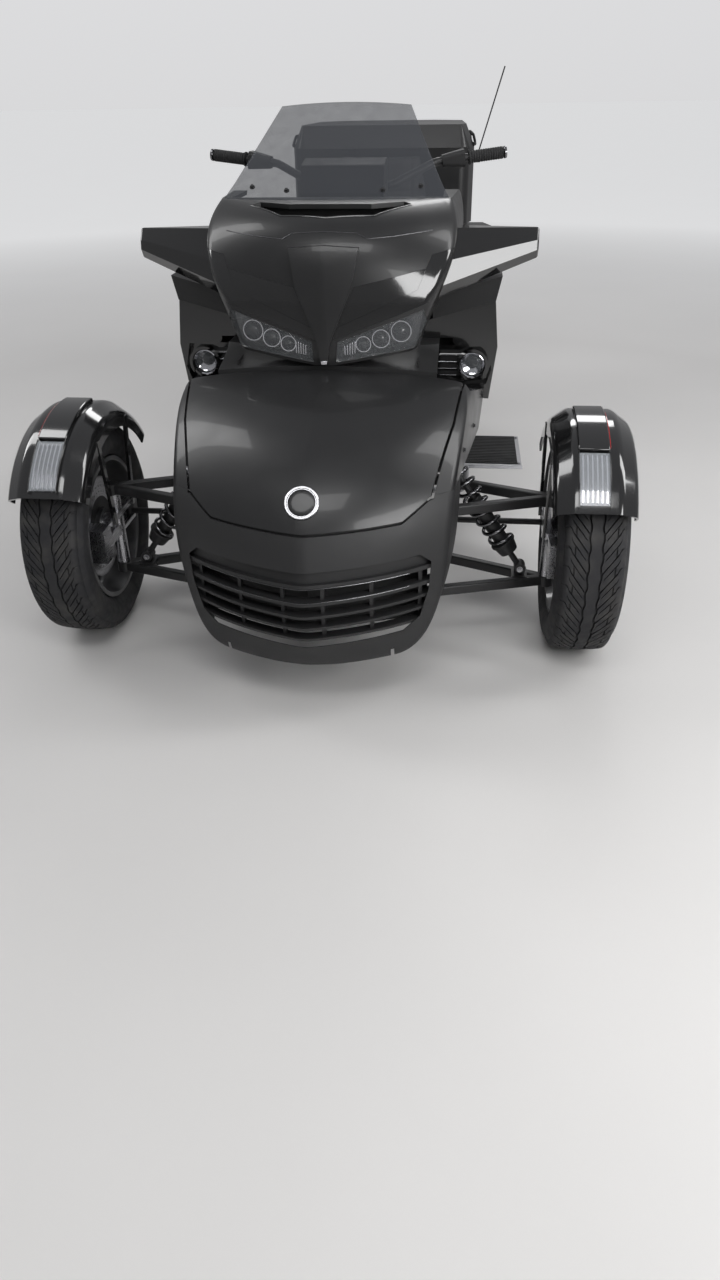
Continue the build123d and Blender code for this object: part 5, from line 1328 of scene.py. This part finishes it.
class TRIKE_OT_seats(bpy.types.Operator):
    """Padded rider's and passenger's seats and backrest, blown up as cloth, with drawn seams and stitches"""

    bl_idname = "trike.seats"
    bl_label = "Seats"

    def execute(self, context):
        sizes = context.scene.trike_cushion
        pieces = []
        for name, (half, line, low, narrow) in CUSHIONS.items():
            sections = []
            tops = spread([Vector(point) for point in line], 5)
            for k, (distance, z) in enumerate(tops):
                t = k / (len(tops) - 1)
                wide = half * (narrow + (1 - narrow) * min(1.0, t * 1.9))
                drop = 10 if k in (0, len(tops) - 1) else 0
                half_ring = [(wide - 8, low), (wide - 2, low + 22), (wide, z - 44), (wide - 8, z - 20),
                             (wide - 34, z - 5), (wide * 0.45, z)]
                ring = [(8 - wide, low), *half_ring, (0, z - 3), *((-x, h) for x, h in half_ring[:0:-1])]
                sections.append([at(x, distance, max(low, h - drop if h > low + 30 else h)) for x, h in ring])
            pieces.append((name, Shape().loft(sections).data(name)))
        high, low = 1072, 832
        sections = []
        for k in range(7):
            t = k / 6
            z = low + (high - low) * t
            wide = 182 - 26 * abs(t - 0.35) ** 1.5 * 2
            front = 1646 + 12 * t
            face = [(wide, 1690), (wide, front + 18), (wide - 16, front + 4), (wide * 0.5, front - 3)]
            ring = [*((-x, d) for x, d in face), (0, front), *reversed(face), (0, 1696)]
            sections.append([at(x, d, z) for x, d in ring])
        pieces.append(("backrest_pad", Shape().loft(sections).data("backrest_pad")))
        for name, data in pieces:
            mesh = self.blown(name, data, sizes)
            self.seams(name, mesh, sizes)
            node = "backrest" if name == "backrest_pad" else "seats"
            options = {"replaces": (node,)} if name != "passenger_seat" else {}
            pad = settle(name, mesh, "seat_cover", smooth=0, layers=1, **options)
            self.stitches(name, mesh)
        return {"FINISHED"}

    def blown(self, name, data, sizes):
        """Remeshes a rough cushion and blows it up as cloth, with its movement held to the cap."""
        scene = bpy.context.scene
        rough = bpy.data.objects.new(name + "_rough", data)
        scene.collection.objects.link(rough)
        cover = rough.modifiers.new("cover", "REMESH")
        cover.mode = "VOXEL"
        cover.voxel_size = sizes.voxel
        mesh = bpy.data.meshes.new_from_object(rough.evaluated_get(bpy.context.evaluated_depsgraph_get()))
        bpy.data.objects.remove(rough)
        work = bmesh.new()
        work.from_mesh(mesh)
        for _ in range(2):
            bmesh.ops.smooth_vert(
                work, verts=work.verts, factor=0.5, use_axis_x=True, use_axis_y=True, use_axis_z=True)
        work.to_mesh(mesh)
        work.free()
        start = [v.co.copy() for v in mesh.vertices]
        frames = 20
        cushion = bpy.data.objects.new(name + "_cloth", mesh)
        scene.collection.objects.link(cushion)
        cloth = cushion.modifiers.new("cloth", "CLOTH")
        cloth.settings.use_pressure = True
        cloth.settings.uniform_pressure_force = 4.0
        cloth.settings.effector_weights.gravity = 0.0
        cloth.settings.quality = 6
        for number in range(1, frames + 1):
            scene.frame_set(number)
        blown = cushion.evaluated_get(bpy.context.evaluated_depsgraph_get()).data
        floor = min(point.z for point in start) + 0.004
        for vertex, point, moved in zip(mesh.vertices, start, blown.vertices):
            step = moved.co - point
            if step.length > sizes.swell:
                step *= sizes.swell / step.length
            vertex.co = point if point.z < floor else point + step
        bpy.data.objects.remove(cushion)
        scene.frame_set(1)
        return mesh

    def seams(self, name, mesh, sizes):
        """Draws the cover in along its seams."""
        for vertex in mesh.vertices:
            x, z = abs(vertex.co.x) / MM, vertex.co.z / MM
            distance = (vertex.co.y - AXLE_Y) / MM
            depth = 0.0
            for gap in self.gaps(name, x, distance, z):
                depth = max(depth, math.exp(-(gap / 4.2) ** 2))
            vertex.co -= vertex.normal * depth * sizes.seam

    def gaps(self, name, x, distance, z):
        """How far a place lies from each seam of its cushion, in millimetres."""
        if name == "backrest_pad":
            if distance > 1676:
                return []
            return [x - 118, (z - 952) if x < 118 else 99]
        if name == "rider_seat":
            side = 112 + 22 * min(1.0, max(0.0, (distance - 1004) / 120))
            return [x - side] + ([distance - 1262] if x < side else []) + ([z - 668] if x > side + 18 else [])
        return [x - 112] + ([distance - 1480] if x < 112 else []) + ([z - 700] if x > 130 else [])

    def stitches(self, name, mesh):
        """Rows of stitches beside the long seams."""
        tree = ray_tree(mesh)
        for out in (-1, 1):
            points = []
            for k in range(60):
                t = k / 59
                if name == "backrest_pad":
                    hit = tree.ray_cast(at(out * 124, 1500, 850 + 200 * t), Vector((0, 1, 0)))[0]
                elif name == "rider_seat":
                    distance = 1024 + 284 * t
                    x = 119 + 22 * min(1.0, (distance - 1004) / 120)
                    hit = tree.ray_cast(at(out * x, distance, 1000), Vector((0, 0, -1)))[0]
                else:
                    hit = tree.ray_cast(at(out * 119, 1362 + 250 * t, 1000), Vector((0, 0, -1)))[0]
                if hit:
                    points.append(hit)
            stitched = f"{name}_stitches_{'left' if out > 0 else 'right'}"
            trail(stitched, points, 6.5, (1.1, 4.0, 1.1), "stitch")


class TRIKE_OT_tank(bpy.types.Operator):
    """Fuel cap, knee ribs and panel joints of the tank cover, and the aerial's boot"""

    bl_idname = "trike.tank"
    bl_label = "Tank fittings"

    def execute(self, context):
        slope = Vector((0, 80, 200)).normalized()
        place = meets("tank_cover", at(0, 716, 900) + slope * 0.2, -slope)
        turned("fuel_cap_ring", [(0, -4), (44, -4), (44, 3), (40, 5), (34, 5), (32, 3.4), (0, 3.4)], place,
               slope, "dark_chrome")
        turned("fuel_cap", [(0, 3), (30, 3), (29, 6), (8, 7.4), (7, 6), (0, 6)], place, slope, "gloss_black",
               48)
        across, along = Vector((1, 0, 0)), slope.cross(Vector((1, 0, 0)))
        bolts = []
        for k in range(6):
            angle = math.tau * k / 6
            arm = across * math.cos(angle) + along * math.sin(angle)
            bolts.append((place + arm * 0.037 + slope * 0.005, slope))
        screws("fuel_cap_screws", bolts, 2.4)
        for side, out in SIDES.items():
            for k in range(9):
                path = [from_side("tank_cover", out, 620 + 26 * k + 40 * u, 800 - 90 * u, 0.6)
                        for u in (0, 0.25, 0.5, 0.75, 1)]
                if all(path):
                    strip(f"knee_rib_{side}_{k}", path, 9, 4, "rubber", (1, 0, 0))
            line = [(460, 700), (760, 706), (968, 660)]
            hits = [from_side("tank_cover", out, d, z, 0.1) for d, z in spread(line, 8)]
            strip(f"tank_joint_{side}", hits, 3, 1.4, "seal", (1, 0, 0))
        boot = [(0, -13), (14, -13), (15, -8), (13, 4), (7, 20), (4.2, 30), (0, 30)]
        turned("aerial_boot", boot, at(360, 1800, 1050), (0, 0, 1), "rubber", 32)
        return {"FINISHED"}


class TRIKE_OT_boards(bpy.types.Operator):
    """Rubber ribs on the rider's boards, and the boards' bolts"""

    bl_idname = "trike.boards"
    bl_label = "Rider's boards"

    def execute(self, context):
        for side, out in SIDES.items():
            rib = Shape().box(at(out * 430, 540, 287.4), (176, 7, 3.6))
            grow(f"board_ribs_{side}", rib.data("rib"), row_tree, {"Count": 18, "Step": (0, 0.0146, 0)},
                 "rubber", bevel=1.0)
            bolts = [(at(out * x, d, 286.4), (0, 0, 1)) for x in (337, 523) for d in (540, 780)]
            screws(f"board_bolts_{side}", bolts, 4.2)
        return {"FINISHED"}


OPERATORS = (
    TRIKE_OT_stage, TRIKE_OT_paintwork, TRIKE_OT_tyres, TRIKE_OT_wheels, TRIKE_OT_suspension, TRIKE_OT_nose,
    TRIKE_OT_lights, TRIKE_OT_controls, TRIKE_OT_luggage, TRIKE_OT_engine, TRIKE_OT_tank, TRIKE_OT_boards,
    TRIKE_OT_seats)
GROUPS = {"trike_camera": CameraPlace, "trike_tread": TreadSizes, "trike_cushion": CushionSizes}


class TRIKE_PT_panel(bpy.types.Panel):
    """Lists the pieces in the 3D view's sidebar"""

    bl_label = "Three-wheeler"
    bl_space_type = "VIEW_3D"
    bl_region_type = "UI"
    bl_category = "Three-wheeler"

    def draw(self, context):
        for operator in OPERATORS:
            self.layout.operator(operator.bl_idname)
        for key, group in GROUPS.items():
            box = self.layout.box()
            for name in group.__annotations__:
                box.prop(getattr(context.scene, key), name)


def register():
    """Registers the classes and hangs the sizes on the scene."""
    for group in GROUPS.values():
        bpy.utils.register_class(group)
    for key, group in GROUPS.items():
        setattr(bpy.types.Scene, key, bpy.props.PointerProperty(type=group))
    for shown in (*OPERATORS, TRIKE_PT_panel):
        bpy.utils.register_class(shown)


def unregister():
    """Takes the sizes and classes away again."""
    for shown in (TRIKE_PT_panel, *reversed(OPERATORS)):
        bpy.utils.unregister_class(shown)
    for key, group in GROUPS.items():
        delattr(bpy.types.Scene, key)
        bpy.utils.unregister_class(group)


def main():
    """Builds everything in order."""
    register()
    for operator in OPERATORS:
        group, name = operator.bl_idname.split(".")
        getattr(getattr(bpy.ops, group), name)()


if __name__ == "__main__":
    main()
